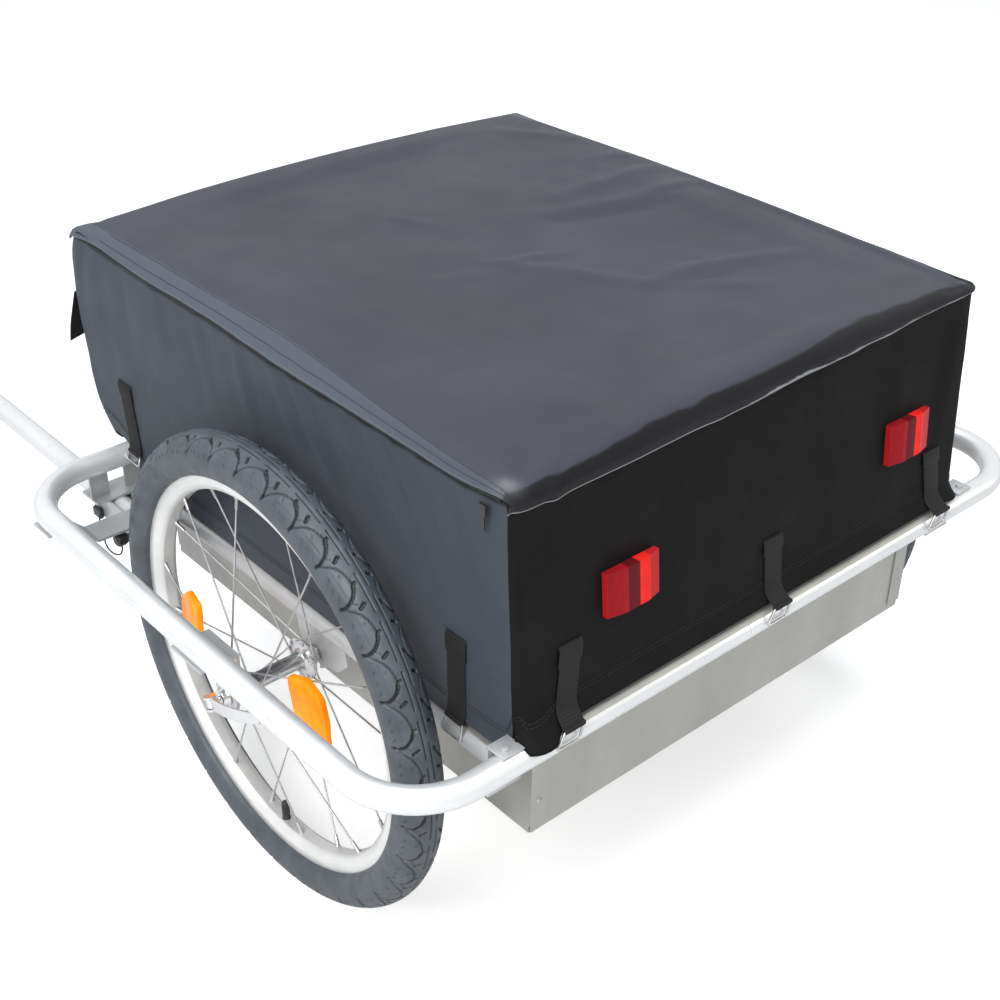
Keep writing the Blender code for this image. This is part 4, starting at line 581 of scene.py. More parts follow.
for side_name, outboard in SIDES:
    shell = lathe(rounded(hub_outline, 0.0008, 2), 48, outboard)
    body, replaced = f"wheel_{side_name}", f"hub_and_spokes_{side_name}"
    make_piece(f"hub_shell_{side_name}", [shell], hub_steel, body, "bright_steel", replaced)
    wires = []
    for side in (-1, 1):
        for index in range(SPOKES_A_SIDE):
            hub, rim = lacing(side, index)
            along = (rim - hub).normalized()
            bend = Vector((leading(index), 0, 0))
            head = hub + bend * 0.0046
            route = [head, head - bend * 0.0012, hub + bend * 0.0008, hub + along * 0.003]
            route += [hub + along * 0.008, rim - along * 0.0125]
            girth = [0.0021, 0.0013, 0.0011, 0.0011, 0.0010, 0.0010]
            wires.append(sweep([in_wheel(p, outboard) for p in route], girth, 8))
            nipple = [rim + along * d for d in (-0.0128, -0.0122, -0.0030, -0.0020, 0.0004)]
            nipple = [in_wheel(p, outboard) for p in nipple]
            wires.append(sweep(nipple, [0.0014, 0.0019, 0.0019, 0.0026, 0.0026], 8))
    make_piece(f"spokes_{side_name}", wires, spoke_steel, body, "bright_steel")


# Valves
# A car-type valve: a black rubber stem through the rim and a ribbed black plastic cap.
valve_rubber = soft_black("valve_rubber", (0.018, 0.018, 0.019), 0.42, 0.60)
VALVE_OUTLINE = (
    (0.2000, 0.0001), (0.2000, 0.0050), (0.1935, 0.0048), (0.1915, 0.0042), (0.1860, 0.0040),
    (0.1852, 0.0036))
CAP_OUTLINE = ((0.1856, 0.0043), (0.1725, 0.0043), (0.1708, 0.0036), (0.1695, 0.0022), (0.1690, 0.0001))


def ribbed_bar(outline, sides, ribs, depth, place):
    """A bar with ribs round it, from (distance, radius) pairs along a line."""
    verts = []
    for distance, radius in outline:
        for k in range(sides):
            turn = 2 * pi * k / sides
            girth = radius - (depth * (0.5 + 0.5 * cos(ribs * turn)) if radius > 0.003 else 0)
            verts.append(place(distance, girth * cos(turn), girth * sin(turn)))
    return verts, grid_faces(len(outline), sides, closed_columns=True)


for side_name, outboard in SIDES:
    def down_from_axle(distance, u, v):
        return Vector((outboard * (WHEEL_X + u), AXLE_Y + v, AXLE_Z - distance))

    stem = ribbed_bar(VALVE_OUTLINE, 20, 1, 0, down_from_axle)
    cap = ribbed_bar(CAP_OUTLINE, 48, 16, 0.0005, down_from_axle)
    name, body = f"valve_and_cap_{side_name}", f"wheel_{side_name}"
    make_piece(name, [stem, cap], valve_rubber, body, "black_plastic", f"valve_{side_name}")


# Spoke reflectors
# Amber prismatic plastic, moulded with a narrower clip end that is pushed over a spoke.
# The outer face is smooth and the pyramids are moulded in the back.
def prism_cells(tree, scale, randomness):
    """Close-set pyramids, as a distance from each one's middle."""
    cells = tree.nodes.new("ShaderNodeTexVoronoi")
    cells.inputs["Scale"].default_value = scale
    cells.inputs["Randomness"].default_value = randomness
    tree.links.new(texture_place(tree), cells.inputs["Vector"])
    return cells.outputs["Distance"]


# Painted glow: the lens colour also drives the emission, so the lens glows though it is no lamp.
amber_lens, tree, shader = surface(
    "amber_prism_lens_painted_glow", Emission_Strength=0.45, Roughness=0.14, Specular_IOR_Level=0.10)
cells = prism_cells(tree, 520, 0.12)
# Painted shade of the pyramids: each prism cell is darker and redder at its middle and lighter towards its
# edges.
prism_painted_shade = ramp(
    tree, cells, ((0.05, (0.95, 0.22, 0.003)), (0.45, (0.92, 0.29, 0.006)), (0.85, (1.0, 0.38, 0.012))))
cloud = ramp(tree, grain(tree, 28, 3), ((0.35, (0.74, 0.15, 0.002)), (0.62, (1.0, 0.34, 0.012))))
amber = colour_mix(tree, 0.45, cloud, prism_painted_shade)
plug(tree, amber, shader.inputs["Base Color"])
plug(tree, amber, shader.inputs["Emission Color"])
relief(tree, shader, cells, 0.0004, 0.35)


def slab(outline, low, high, round_edge, place):
    """A plate from an outline, with its two rims rounded, put in place by a function of (u, v, height)."""
    count = len(outline)
    middle = Vector((sum(p[0] for p in outline) / count, sum(p[1] for p in outline) / count))
    inset = []
    for i in range(count):
        before, here, after = Vector(outline[i - 1]), Vector(outline[i]), Vector(outline[(i + 1) % count])
        edge = (after - before).normalized()
        normal = Vector((-edge.y, edge.x))
        if normal.dot(middle - here) < 0:
            normal = -normal
        inset.append(normal)
    verts = []
    levels = [(low, 1.0), (low + round_edge * 0.3, 0.3), (low + round_edge, 0)]
    levels += [(high - round_edge, 0), (high - round_edge * 0.3, 0.3), (high, 1.0)]
    for height, share in levels:
        for point, normal in zip(outline, inset):
            moved = Vector(point) + normal * round_edge * share
            verts.append(place(moved.x, moved.y, height))
    return verts, grid_faces(len(levels), count, closed_columns=True) + end_caps(verts, count)


LENS_CIRCLE = 0.107
LENS_HALF = 0.0035


def reflector_frame(angle, index):
    """Where a spoke reflector lies: its middle and its three directions, with outboard as +X."""
    hub, rim = lacing(1, index)
    along = (rim - hub).normalized()
    share = 0.0
    while hypot(*hub.lerp(rim, share).yz) < LENS_CIRCLE:
        share += 0.001
    on_spoke = hub.lerp(rim, share)
    radial = Vector((0, cos(angle), sin(angle)))
    tangent = Vector((0, -sin(angle), cos(angle)))
    outward = along.cross(tangent).normalized()
    if outward.x < 0:
        outward = -outward
    upright = (along - tangent * along.dot(tangent)).normalized()
    middle = on_spoke + outward * (0.001 + 0.0003 + LENS_HALF)
    middle += tangent * (radial * LENS_CIRCLE - on_spoke).dot(tangent)
    return middle, tangent, upright, outward


# The lens is widest at its middle, with a slanted far end and a narrower clip past a dark joint.
reflector_outline = rounded([
    (0.037, 0.010), (0.031, 0.017), (0.022, 0.0175), (0.008, 0.021), (-0.020, 0.021), (-0.037, 0.006),
    (-0.037, -0.019), (-0.024, -0.021), (0.010, -0.021), (0.022, -0.0185), (0.034, -0.018), (0.037, -0.012),
], 0.004, 4)
for side_name, outboard in SIDES:
    for tag, angle, index, flip in (("rear", radians(166), 3, 1), ("front", radians(6.5), 9, -1)):
        middle, lengthwise, upright, outward = reflector_frame(angle, index)

        def on_lens(u, v, height):
            return in_wheel(middle + lengthwise * u * flip + upright * v + outward * height, outboard)

        lens = slab(reflector_outline, -LENS_HALF, LENS_HALF, 0.0012, on_lens)
        name, replaced = f"spoke_lens_{side_name}_{tag}", f"spoke_reflector_{side_name}_{tag}"
        make_piece(name, [lens], amber_lens, f"wheel_{side_name}", "amber_lens", replaced)


# Axles, skewers and quick-release levers
# A hollow steel axle with cones and locknuts, clamped in the dropouts by a skewer whose chromed
# lever turns in a cam.
chrome = metal("lever_chrome", 1.0, (40, 4), (0.66, 0.66, 0.67), (0.78, 0.78, 0.78), (160, 4), 0.10, 0.22)[0]
CLAMP_FACE = 0.050 + 0.0036 + 0.0009
PIVOT_X = CLAMP_FACE + 0.0162
LEVER_SLOPE = radians(21)
LEVER_HALF = 0.0074
LEVER_SIDES = 20
LOCKNUT_RADIUS = 0.0095
LOCKNUT_FACES = (0.0446, 0.0497)
AXLE_HALF = [
    (0.0028, 0.0536), (0.0050, 0.0532), (0.0050, 0.0500), (0.0082, 0.0498), (0.0085, 0.0440),
    (0.0078, 0.0396), (0.0050, 0.0390)]
# The skewer's cup and nut: a radius, and how far past the dropouts' outer or inner face.
CUP_OUTLINE = (
    (0.0026, 0), (0.0105, 0), (0.0105, 0.0015), (0.0096, 0.0024), (0.0088, 0.0068), (0.0070, 0.0074),
    (0.0026, 0.0074))
NUT_OUTLINE = (
    (0.0026, 0.0102), (0.0064, 0.0100), (0.0078, 0.0080), (0.0085, 0.0030), (0.0092, 0.0015), (0.0092, 0),
    (0.0026, 0))
# The lever's bow, as places along it, out from its line, and half its thickness.
LEVER_BOW = smooth_line(
    [(0.0050, 0, 0.0030), (0.018, 0.0026, 0.0024), (0.038, 0.0042, 0.0021), (0.060, 0.0032, 0.0019),
     (0.078, 0.0002, 0.0018), (0.0886, -0.0028, 0.0014)], 5)


def hexagon(radius):
    return [(radius * cos(pi / 3 * k), radius * sin(pi / 3 * k)) for k in range(6)]


def squared(value, power=0.6):
    """A sine or cosine drawn towards its ends, which squares a circle's sides."""
    return abs(value) ** power * (1 if value >= 0 else -1)


for side_name, outboard in SIDES:
    parts = [lathe(rounded(AXLE_HALF + mirror(AXLE_HALF), 0.0006, 2), 36, outboard)]
    for side in (-1, 1):
        def on_axle(u, v, height):
            return in_wheel((side * height, u, v), outboard)

        parts.append(slab(rounded(hexagon(LOCKNUT_RADIUS), 0.001, 2), *LOCKNUT_FACES, 0.0006, on_axle))
    make_piece(f"axle_cones_{side_name}", parts, hub_steel, "frame", "bright_steel", f"axle_{side_name}")

    lever_way = Vector((0, -cos(LEVER_SLOPE), sin(LEVER_SLOPE)))
    pivot_way = Vector((0, sin(LEVER_SLOPE), cos(LEVER_SLOPE)))
    pivot = Vector((PIVOT_X, 0, 0))
    cup = [(radius, CLAMP_FACE + past) for radius, past in CUP_OUTLINE]
    nut = [(radius, -CLAMP_FACE - past) for radius, past in NUT_OUTLINE]
    rod = [in_wheel((x, 0, 0), outboard) for x in (-CLAMP_FACE - 0.012, PIVOT_X)]
    barrel = [in_wheel(pivot + pivot_way * reach, outboard) for reach in (-0.0044, 0.0044)]
    rod_parts = [sweep(rod, 0.0025, 16)]
    rod_parts += [lathe(rounded(profile, 0.0005, 2), 36, outboard) for profile in (cup, nut)]
    rod_parts.append(sweep(barrel, 0.0047, 24))
    make_piece(f"skewer_rod_{side_name}", rod_parts, chrome, "frame", "bright_steel", f"skewer_{side_name}")

    lever_parts = []
    for end in (-1, 1):
        route = [pivot + pivot_way * end * reach for reach in (0.0049, 0.0054, 0.0070, 0.0075)]
        route = [in_wheel(place, outboard) for place in route]
        lever_parts.append(sweep(route, [0.0062, 0.0067, 0.0067, 0.0062], 28))
    verts = []
    for i, (along, lift, half) in enumerate(LEVER_BOW):
        share = i / (len(LEVER_BOW) - 1)
        tip = sqrt(max(0.0, 1 - ((share - 0.9) / 0.1) ** 2)) * 0.75 + 0.25 if share > 0.9 else 1
        wide = LEVER_HALF * (1 - 0.18 * share) * tip
        for k in range(LEVER_SIDES):
            turn = 2 * pi * k / LEVER_SIDES
            u, v = wide * squared(cos(turn)), half * squared(sin(turn))
            dish = 0.0009 * (1 - (u / LEVER_HALF) ** 2) if v > 0 and 0.15 < share < 0.85 else 0
            place = pivot + lever_way * along + pivot_way * u + Vector((lift + v - dish, 0, 0))
            verts.append(in_wheel(place, outboard))
    faces = grid_faces(len(LEVER_BOW), LEVER_SIDES, closed_columns=True) + end_caps(verts, LEVER_SIDES)
    lever_parts.append((verts, faces))
    name, body = f"quick_release_lever_{side_name}", f"qr_lever_{side_name}"
    make_piece(name, lever_parts, chrome, body, "bright_steel", f"quick_release_{side_name}")


# Tube loop
# Two bent halves of 25 mm steel tube in satin silver powder coat. The left half's swaged ends push
# into the right half in the middle of the rear and front runs.
LOOP_X = 0.432
LOOP_REAR = -0.312
LOOP_FRONT = 0.347
LOOP_Z = 0.326
LOOP_BEND = 0.075
LOOP_JOINT_X = -0.028
JOINT_GAP = 0.0002
TUBE = 0.0125
SPIGOT = 0.0108


def bent(corners, radius, steps):
    """The line through some corners, each rounded by an arc of the given radius."""
    corners = [Vector(c) for c in corners]
    line = [corners[0]]
    for before, corner, after in zip(corners, corners[1:], corners[2:]):
        back, ahead = (before - corner).normalized(), (after - corner).normalized()
        half = back.angle(ahead) / 2
        reach = radius * cos(half) / sin(half)
        centre = corner + (back + ahead).normalized() * (radius / sin(half))
        first, last = corner + back * reach - centre, corner + ahead * reach - centre
        turn = first.angle(last)
        for i in range(steps + 1):
            t = i / steps
            line.append(centre + (first * sin((1 - t) * turn) + last * sin(t * turn)) / sin(turn))
    line.append(corners[-1])
    return line


def silver_paint(name, low, high, metallic, smooth, rough):
    """Satin powder coat: slight cloudiness, a fine orange peel, and faint rubbed patches."""
    material, tree, shader = surface(name, Metallic=metallic, Coat_Weight=0.15, Coat_Roughness=0.2)
    tones(tree, shader, "Base Color", grain(tree, 9, 5), low, high, (0.30, 0.68))
    tones(tree, shader, "Roughness", grain(tree, 55, 5), smooth, rough)
    relief(tree, shader, grain(tree, 620, 2), 0.0002, 0.22)
    return material


tube_silver = silver_paint("tube_silver_coat", (0.68, 0.695, 0.705), (0.78, 0.79, 0.795), 0.42, 0.26, 0.38)

for side_name, sign in SIDES:
    joint, far = LOOP_JOINT_X + sign * JOINT_GAP, sign * LOOP_X
    corners = [(joint, LOOP_REAR), (far, LOOP_REAR), (far, LOOP_FRONT), (joint, LOOP_FRONT)]
    line = [on_trailer(*p) for p in bent([(x, y, LOOP_Z) for x, y in corners], LOOP_BEND, 18)]
    if sign < 0:
        spigot, lip = Vector((0.030, 0, 0)), Vector((0.0012, 0, 0))
        first, last = line[0], line[-1]
        line[:1] = [first + spigot, first + lip * 0.5, first - lip]
        line[-1:] = [last - lip, last + lip * 0.5, last + spigot]
        radii = [SPIGOT] * 2 + [TUBE] * (len(line) - 4) + [SPIGOT] * 2
    else:
        edge = Vector((0.0008, 0, 0))
        line = [line[0], line[0] + edge] + line[1:-1] + [line[-1] + edge, line[-1]]
        radii = [TUBE - 0.0007] + [TUBE] * (len(line) - 2) + [TUBE - 0.0007]
    loop, replaced = sweep(line, radii, 40), f"perimeter_tube_{side_name}"
    make_piece(f"tube_loop_{side_name}", [loop], tube_silver, "frame", "frame_silver", replaced)


# Side rails, corner brackets and dropouts
# Round rails inside the wheels, pressed steel brackets that hang them from the loop, and laser-cut
# dropout plates, all powder coated in the same silver.
RAIL_X, RAIL_Z = 0.300, 0.296
SHEET = 0.002
# Each bracket's upright plate and the end of its tab, along Y, and its inner and outer edges.
BRACKETS = (("rear", -0.2949, -0.3170, 0.3066, 0.3300), ("front", 0.3024, 0.3520, 0.2900, 0.3020))
PLATE_X, PLATE_LOW, PLATE_TOP, PLATE_SHOULDER = 0.2920, 0.2840, 0.3404, 0.3150
SCREW_X, SCREW_Y, SCREW_RADIUS = 0.3205, -0.3085, 0.0038


def dress(material, *nodes):
    """Give CAD nodes a material in place of their own."""
    for node in nodes:
        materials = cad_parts[node].data.materials
        materials.clear()
        materials.append(material)


rail_silver = silver_paint("rail_silver_coat", (0.42, 0.435, 0.445), (0.52, 0.53, 0.54), 0.35, 0.32, 0.44)
for side_name, sign in SIDES:
    line = [on_trailer(sign * RAIL_X, y, RAIL_Z) for y in (-0.2948, -0.2943, 0.3018, 0.3023)]
    rail = sweep(line, [0.0094, 0.0100, 0.0100, 0.0094], 32)
    name, replaced = f"rail_tube_{side_name}", f"side_rail_{side_name}"
    make_piece(name, [rail], rail_silver, "frame", "frame_silver", replaced)

    def on_web(u, v, height):
        return on_trailer(sign * u, height, v)

    def on_tab(u, v, height):
        return on_trailer(sign * u, v, height)

    for end, web_y, tab_y, inner, outer in BRACKETS:
        web = [(PLATE_X, PLATE_LOW), (outer, PLATE_LOW), (outer, PLATE_TOP), (inner, PLATE_TOP)]
        web += [(inner, PLATE_SHOULDER), (PLATE_X, PLATE_SHOULDER)]
        tab = [(inner, web_y), (outer, web_y), (outer, tab_y), (inner, tab_y)]
        near, far = sorted((web_y, web_y + (SHEET if tab_y > web_y else -SHEET)))
        parts = [slab(web, near, far, 0.0004, on_web), slab(tab, 0.3388, 0.3408, 0.0004, on_tab)]
        if end == "rear":
            head = [(x + SCREW_X, y + SCREW_Y) for x, y in hexagon(SCREW_RADIUS)]
            parts.append(slab(head, 0.3407, 0.3432, 0.0004, on_tab))
        name, replaced = f"bracket_plate_{end}_{side_name}", f"corner_bracket_{end}_{side_name}"
        make_piece(name, parts, rail_silver, "frame", "frame_silver", replaced)
dress(rail_silver, "inner_dropout_left", "inner_dropout_right", "outer_dropout_left", "outer_dropout_right")


# Tub
# Silver-coated sheet steel: a folded pan with corner tabs that are riveted over two end panels,
# whose top edges roll over the loop.
tub_coat, tree, shader = surface("tub_sheet_coat", Metallic=0.35)
streaks = grain(tree, 14, 6, 0.62, stretch=(1, 1, 0.35))
tones(tree, shader, "Base Color", streaks, (0.33, 0.33, 0.308), (0.41, 0.41, 0.382), (0.28, 0.72))
tones(tree, shader, "Roughness", grain(tree, 40, 5), 0.36, 0.52)
relief(tree, shader, grain(tree, 700, 2), 0.0002, 0.25)
relief(tree, shader, grain(tree, 6, 3), 0.003, 0.12)
dress(tub_coat, "tub_pan", "tub_rear_panel", "tub_front_panel")


# Arm plates, socket and tow arm
# Two steel plates under the left front corner and a folded channel that the tow arm slides into.
# The arm is the same 25 mm tube, with one double bend behind the bicycle.
dress(rail_silver, "arm_plate_rear", "arm_plate_front", "arm_socket")

arm_coat = silver_paint("arm_white_silver_coat", (0.64, 0.65, 0.66), (0.73, 0.735, 0.74), 0.30, 0.26, 0.36)
ARM_X, ARM_Z, HITCH_X = -0.325, 0.2699, -0.080
ARM_REAR, ARM_FRONT, YOKE_REACH = 0.264, 1.2287474, 0.0143
ARM_ANGLE, ARM_BEND, ARM_BORE = radians(55), 0.100, 0.0112
second_bend = ARM_FRONT - YOKE_REACH - ARM_BEND * sin(ARM_ANGLE / 2) / cos(ARM_ANGLE / 2)
first_bend = second_bend - (HITCH_X - ARM_X) * cos(ARM_ANGLE) / sin(ARM_ANGLE)
corners = [(ARM_X, ARM_REAR), (ARM_X, first_bend), (HITCH_X, second_bend), (HITCH_X, ARM_FRONT)]
arm_line = [on_trailer(*p) for p in bent([(x, y, ARM_Z) for x, y in corners], ARM_BEND, 18)]


def pipe(line, outer, inner, sides):
    """A tube with a bore, open at both ends."""
    verts = []
    frames = list(zip(line, path_frames(line)))
    for point, (u, v) in frames:
        verts += circle(point, u, v, outer, sides)
    for point, (u, v) in reversed(frames):
        verts += circle(point, u, v, inner, sides)
    return verts, grid_faces(2 * len(line), sides, closed_rows=True, closed_columns=True)


make_piece("tow_arm_tube", [pipe(arm_line, TUBE, ARM_BORE, 40)], arm_coat, "frame", "frame_silver", "tow_arm")


# Lock pin and clip
# A black moulded knob on a steel shank locks the arm in its socket, and a black clip on the channel
# holds the tether's end.
PIN_X, PIN_Y = -0.352, 0.2775
KNOB_SIDES = 60
knob_black = soft_black("knob_black", (0.024, 0.024, 0.025), 0.34, 0.50)
knob_outline = rounded([
    (0.0001, -0.0135), (0.0050, -0.0140), (0.0078, -0.0118), (0.0080, -0.0040), (0.0066, -0.0004),
    (0.0042, 0.0), (0.0001, 0.0)], 0.0008, 2)


def across_arm(distance, u, v):
    return on_trailer(PIN_X + distance, PIN_Y + u, ARM_Z + v)


verts, faces = ribbed_bar([(h, r) for r, h in knob_outline[:-1]], KNOB_SIDES, 10, 0.0006, across_arm)
knob = (verts, faces + end_caps(verts, KNOB_SIDES))
make_piece("lock_pin_knob", [knob], knob_black, "lock_pin", "black_plastic", "lock_pin")
shank_line = [across_arm(d, 0, 0) for d in (-0.004, 0.0435, 0.0458, 0.0470)]
shank = sweep(shank_line, [0.0040, 0.0040, 0.0036, 0.0026], 24)
make_piece("lock_pin_shank", [shank], hub_steel, "lock_pin", "bright_steel")
dress(knob_black, "tether_clip")


# Hitch
# Plated steel: a yoke pressed into the arm's end, a swivel block on a riveted upright pin, and a
# tongue on a cross pin that goes on the bicycle's rear axle.
zinc, tree, shader = metal(
    "hitch_zinc_plate", 0.9, (35, 6), (0.46, 0.465, 0.47), (0.60, 0.60, 0.595), (120, 5), 0.26, 0.42)
relief(tree, shader, grain(tree, 500, 3), 0.0002, 0.25)
dress(zinc, "hitch_yoke", "hitch_swivel", "hitch_coupler")


# Hoops and top bars
# Thin bent steel tubes inside the cover that stand on the loop and keep the fabric up, bowed a
# little in the middle. They are seen only with the lid open.
HOOP_X, HOOP_SAG, BAR_SAG = 0.2865, 0.0082, 0.0072
HOOP_RADIUS, HOOP_BEND, BAR_RADIUS = 0.006, 0.030, 0.005


def easing(value, start, end):
    """0 before the start and 1 past the end, smoothly between."""
    t = max(0.0, min(1.0, (value - start) / (end - start)))
    return t * t * (3 - 2 * t)


def cover_level(x, y):
    """The height of the cover's stretched top, lower towards its corners."""
    across, along = min(1.0, abs(x) / 0.310), min(1.0, abs(y - 0.05) / 0.345)
    return 0.5750 + (0.0085 - 0.0045 * easing(-x, 0.15, 0.29)) * (1 - (across * along) ** 2)


for node in ("rear_hoop", "front_hoop"):
    low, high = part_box(node)
    foot_y, top_y = low.y - AXLE_Y + HOOP_RADIUS, high.y - AXLE_Y - HOOP_RADIUS
    foot_z, flat_z = low.z + 0.001, cover_level(HOOP_X, top_y) - HOOP_SAG
    corners = [(-HOOP_X, foot_y, foot_z), (-HOOP_X, top_y, flat_z)]
    corners += [(HOOP_X, top_y, flat_z), (HOOP_X, foot_y, foot_z)]
    line = bent(corners, HOOP_BEND, 12)
    half_way = len(line) // 2
    line[half_way:half_way] = [line[half_way - 1].lerp(line[half_way], i / 20) for i in range(1, 20)]
    for place in line:
        bow = cover_level(place.x, top_y) - HOOP_SAG - flat_z
        place.z += bow * (place.z - foot_z) / (flat_z - foot_z)
    hoop = sweep([on_trailer(*place) for place in line], HOOP_RADIUS, 24)
    make_piece(f"{node}_tube", [hoop], rail_silver, "frame", "frame_silver", node)
for side_name, _ in SIDES:
    low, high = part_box(f"top_bar_{side_name}")
    x, start, end = (low.x + high.x) / 2, low.y - AXLE_Y, high.y - AXLE_Y
    steps = [start + (end - start) * i / 24 for i in range(25)]
    bar = sweep([on_trailer(x, y, cover_level(x, y) - BAR_SAG) for y in steps], BAR_RADIUS, 24)
    name, replaced = f"top_bar_tube_{side_name}", f"top_bar_{side_name}"
    make_piece(name, [bar], rail_silver, "frame", "frame_silver", replaced)


# Cover walls
# Coated woven polyester, cut in four panels and sewn at the corners. The hem is turned up twice,
# stitched, and drawn out over the loop by the straps.
HEM_R = 0.019
HEM_LOW = 0.3082
WALL_HALF_LOW = 0.3032
WALL_ROWS = 64
CORNER_STEPS = 8
CLOTH = 0.0009
RIGHT_LIP_Z = 0.5725


def waves(tree, direction, scale, distortion):
    """Even bands along one direction."""
    field = tree.nodes.new("ShaderNodeTexWave")
    field.bands_direction = direction
    field.inputs["Scale"].default_value = scale
    field.inputs["Distortion"].default_value = distortion
    field.inputs["Detail"].default_value = 2
    tree.links.new(texture_place(tree), field.inputs["Vector"])
    return field.outputs["Fac"]


def fabric(name, low, high, smooth, rough, sheen, specular):
    """Plain weave with a thin coating: crossed threads, slubs, faint rubbed clouds and a soft sheen."""
    material, tree, shader = surface(
        name, Sheen_Weight=sheen, Sheen_Roughness=0.45, Sheen_Tint=(0.80, 0.86, 1.0, 1),
        Specular_IOR_Level=specular)
    threads = 0.0
    for direction in ("X", "Y", "Z"):
        threads = combine(tree, "ADD", threads, waves(tree, direction, 420, 1.2))
    tones(tree, shader, "Base Color", grain(tree, 5, 5, 0.55), low, high, (0.30, 0.70))
    tones(tree, shader, "Roughness", grain(tree, 18, 5), smooth, rough)
    relief(tree, shader, threads, 0.00025, 0.35)
    relief(tree, shader, grain(tree, 1500, 2), 0.0002, 0.2)
    relief(tree, shader, grain(tree, 20, 4, 0.5), 0.0016, 0.12)
    return material, tree, shader


def mix_over(tree, shader, name, colour, strength):
    """Turn the cloth towards another colour where an attribute of the mesh is high."""
    amount = combine(tree, "MULTIPLY", attribute(tree, name), strength)
    base = shader.inputs["Base Color"]
    plug(tree, colour_mix(tree, amount, base.links[0].from_socket, (*colour, 1)), base)


side_fabric, tree, shader = fabric(
    "cover_side_fabric", (0.035, 0.041, 0.052), (0.050, 0.059, 0.074), 0.44, 0.58, 0.05, 0.16)
# The side walls' top rows go near black: partly the real zip tape, partly painted shadow for the gap under
# the lid's lip.
mix_over(tree, shader, "zip_tape", (0.002, 0.002, 0.0024), 0.95)
# Painted shade: the rear wall's cloth is the same polyester as a near-black copy, because the rear wall faces
# away from the key light.
rear_fabric_painted_shade = fabric(
    "cover_rear_fabric", (0.0022, 0.0022, 0.0028), (0.0036, 0.0036, 0.0044), 0.66, 0.82, 0.0, 0.16)[0]


def read_off(line, place):
    """Read a value off a line of (place, value) points."""
    for a, b in zip(line, line[1:]):
        if place <= b[0]:
            return a[1] + (b[1] - a[1]) * max(0.0, (place - a[0]) / (b[0] - a[0]))
    return line[-1][1]


# The heights of the lid's lips, along the left side and across the rear.
LEFT_LIP = smooth_line(
    [(-0.2855, 0.5703), (-0.230, 0.5653), (-0.167, 0.5659), (-0.075, 0.5663), (0.025, 0.5667),
     (0.135, 0.5707), (0.260, 0.5695), (0.350, 0.5729), (0.400, 0.5676)], 6)
REAR_LIP = smooth_line([(-0.31, 0.5585), (-0.25, 0.5545), (0.0, 0.558), (0.25, 0.566), (0.31, 0.567)], 6)
# How far the front wall stands forward of its foot, by its height.
FRONT_BULGE = smooth_line(
    [(0, 0), (0.04, 0.018), (0.19, 0.044), (0.44, 0.052), (0.64, 0.0575), (0.88, 0.054), (1, 0.0405)], 6)


def side_lip(x, y):
    """The lip's height over a side wall."""
    return read_off(LEFT_LIP, y) if x < 0 else RIGHT_LIP_Z


# The left wall's folds, each from its top to its foot as (y, z), with how far it stands out and how
# wide it is. The right wall's are softer ones of the same kind.
LEFT_FOLDS = (
    ((0.166, 0.560), (0.146, 0.455), 0.0010, 0.010),
    ((0.098, 0.560), (0.066, 0.450), 0.0013, 0.010),
    ((0.040, 0.562), (-0.026, 0.462), 0.0018, 0.009),
    ((0.007, 0.560), (-0.074, 0.448), 0.0020, 0.008),
    ((-0.036, 0.565), (-0.128, 0.450), 0.0024, 0.009),
    ((-0.100, 0.562), (-0.186, 0.452), 0.0024, 0.009),
    ((-0.143, 0.560), (-0.228, 0.436), 0.0022, 0.010),
    ((-0.180, 0.560), (-0.262, 0.420), 0.0020, 0.010),
    ((-0.232, 0.558), (-0.283, 0.475), 0.0016, 0.009),
    ((0.246, 0.562), (0.232, 0.470), 0.0010, 0.012),
    ((0.318, 0.565), (0.322, 0.455), 0.0016, 0.008),
    ((0.334, 0.565), (0.340, 0.430), 0.0018, 0.007),
    ((0.349, 0.560), (0.352, 0.480), 0.0014, 0.004),
)
RIGHT_FOLDS = tuple(
    ((0.02 - 0.8 * y0, z0), (-0.02 - 0.8 * y1, z1), rise * 0.8, wide)
    for (y0, z0), (y1, z1), rise, wide in LEFT_FOLDS
)
REAR_FOLDS = (
    ((-0.240, 0.556), (-0.232, 0.430), 0.0012, 0.016),
    ((0.286, 0.556), (0.270, 0.380), 0.0018, 0.014),
    ((0.200, 0.500), (0.190, 0.356), 0.0010, 0.018),
    ((-0.120, 0.440), (-0.070, 0.350), 0.0010, 0.020),
    ((0.090, 0.450), (0.060, 0.350), 0.0010, 0.020),
)
FOLDS = {"left": LEFT_FOLDS, "right": RIGHT_FOLDS, "rear": REAR_FOLDS}


def fold_rise(u, z, folds):
    """How far the cloth stands out at a place along a wall, from all of its folds."""
    rise = 0
    for (u0, z0), (u1, z1), height, wide in folds:
        length = hypot(u1 - u0, z1 - z0)
        du, dz = (u1 - u0) / length, (z1 - z0) / length
        along = ((u - u0) * du + (z - z0) * dz) / length
        off = (u - u0) * dz - (z - z0) * du
        if -0.35 < along < 1.6:
            fade = exp(-1.4 * ((along - 0.35) / 0.55) ** 2)
            ridge = exp(-((off / wide) ** 2))
            valley = exp(-(((off - 1.7 * wide) / (1.1 * wide)) ** 2))
            rise += height * fade * (ridge - 0.7 * valley)
    return rise


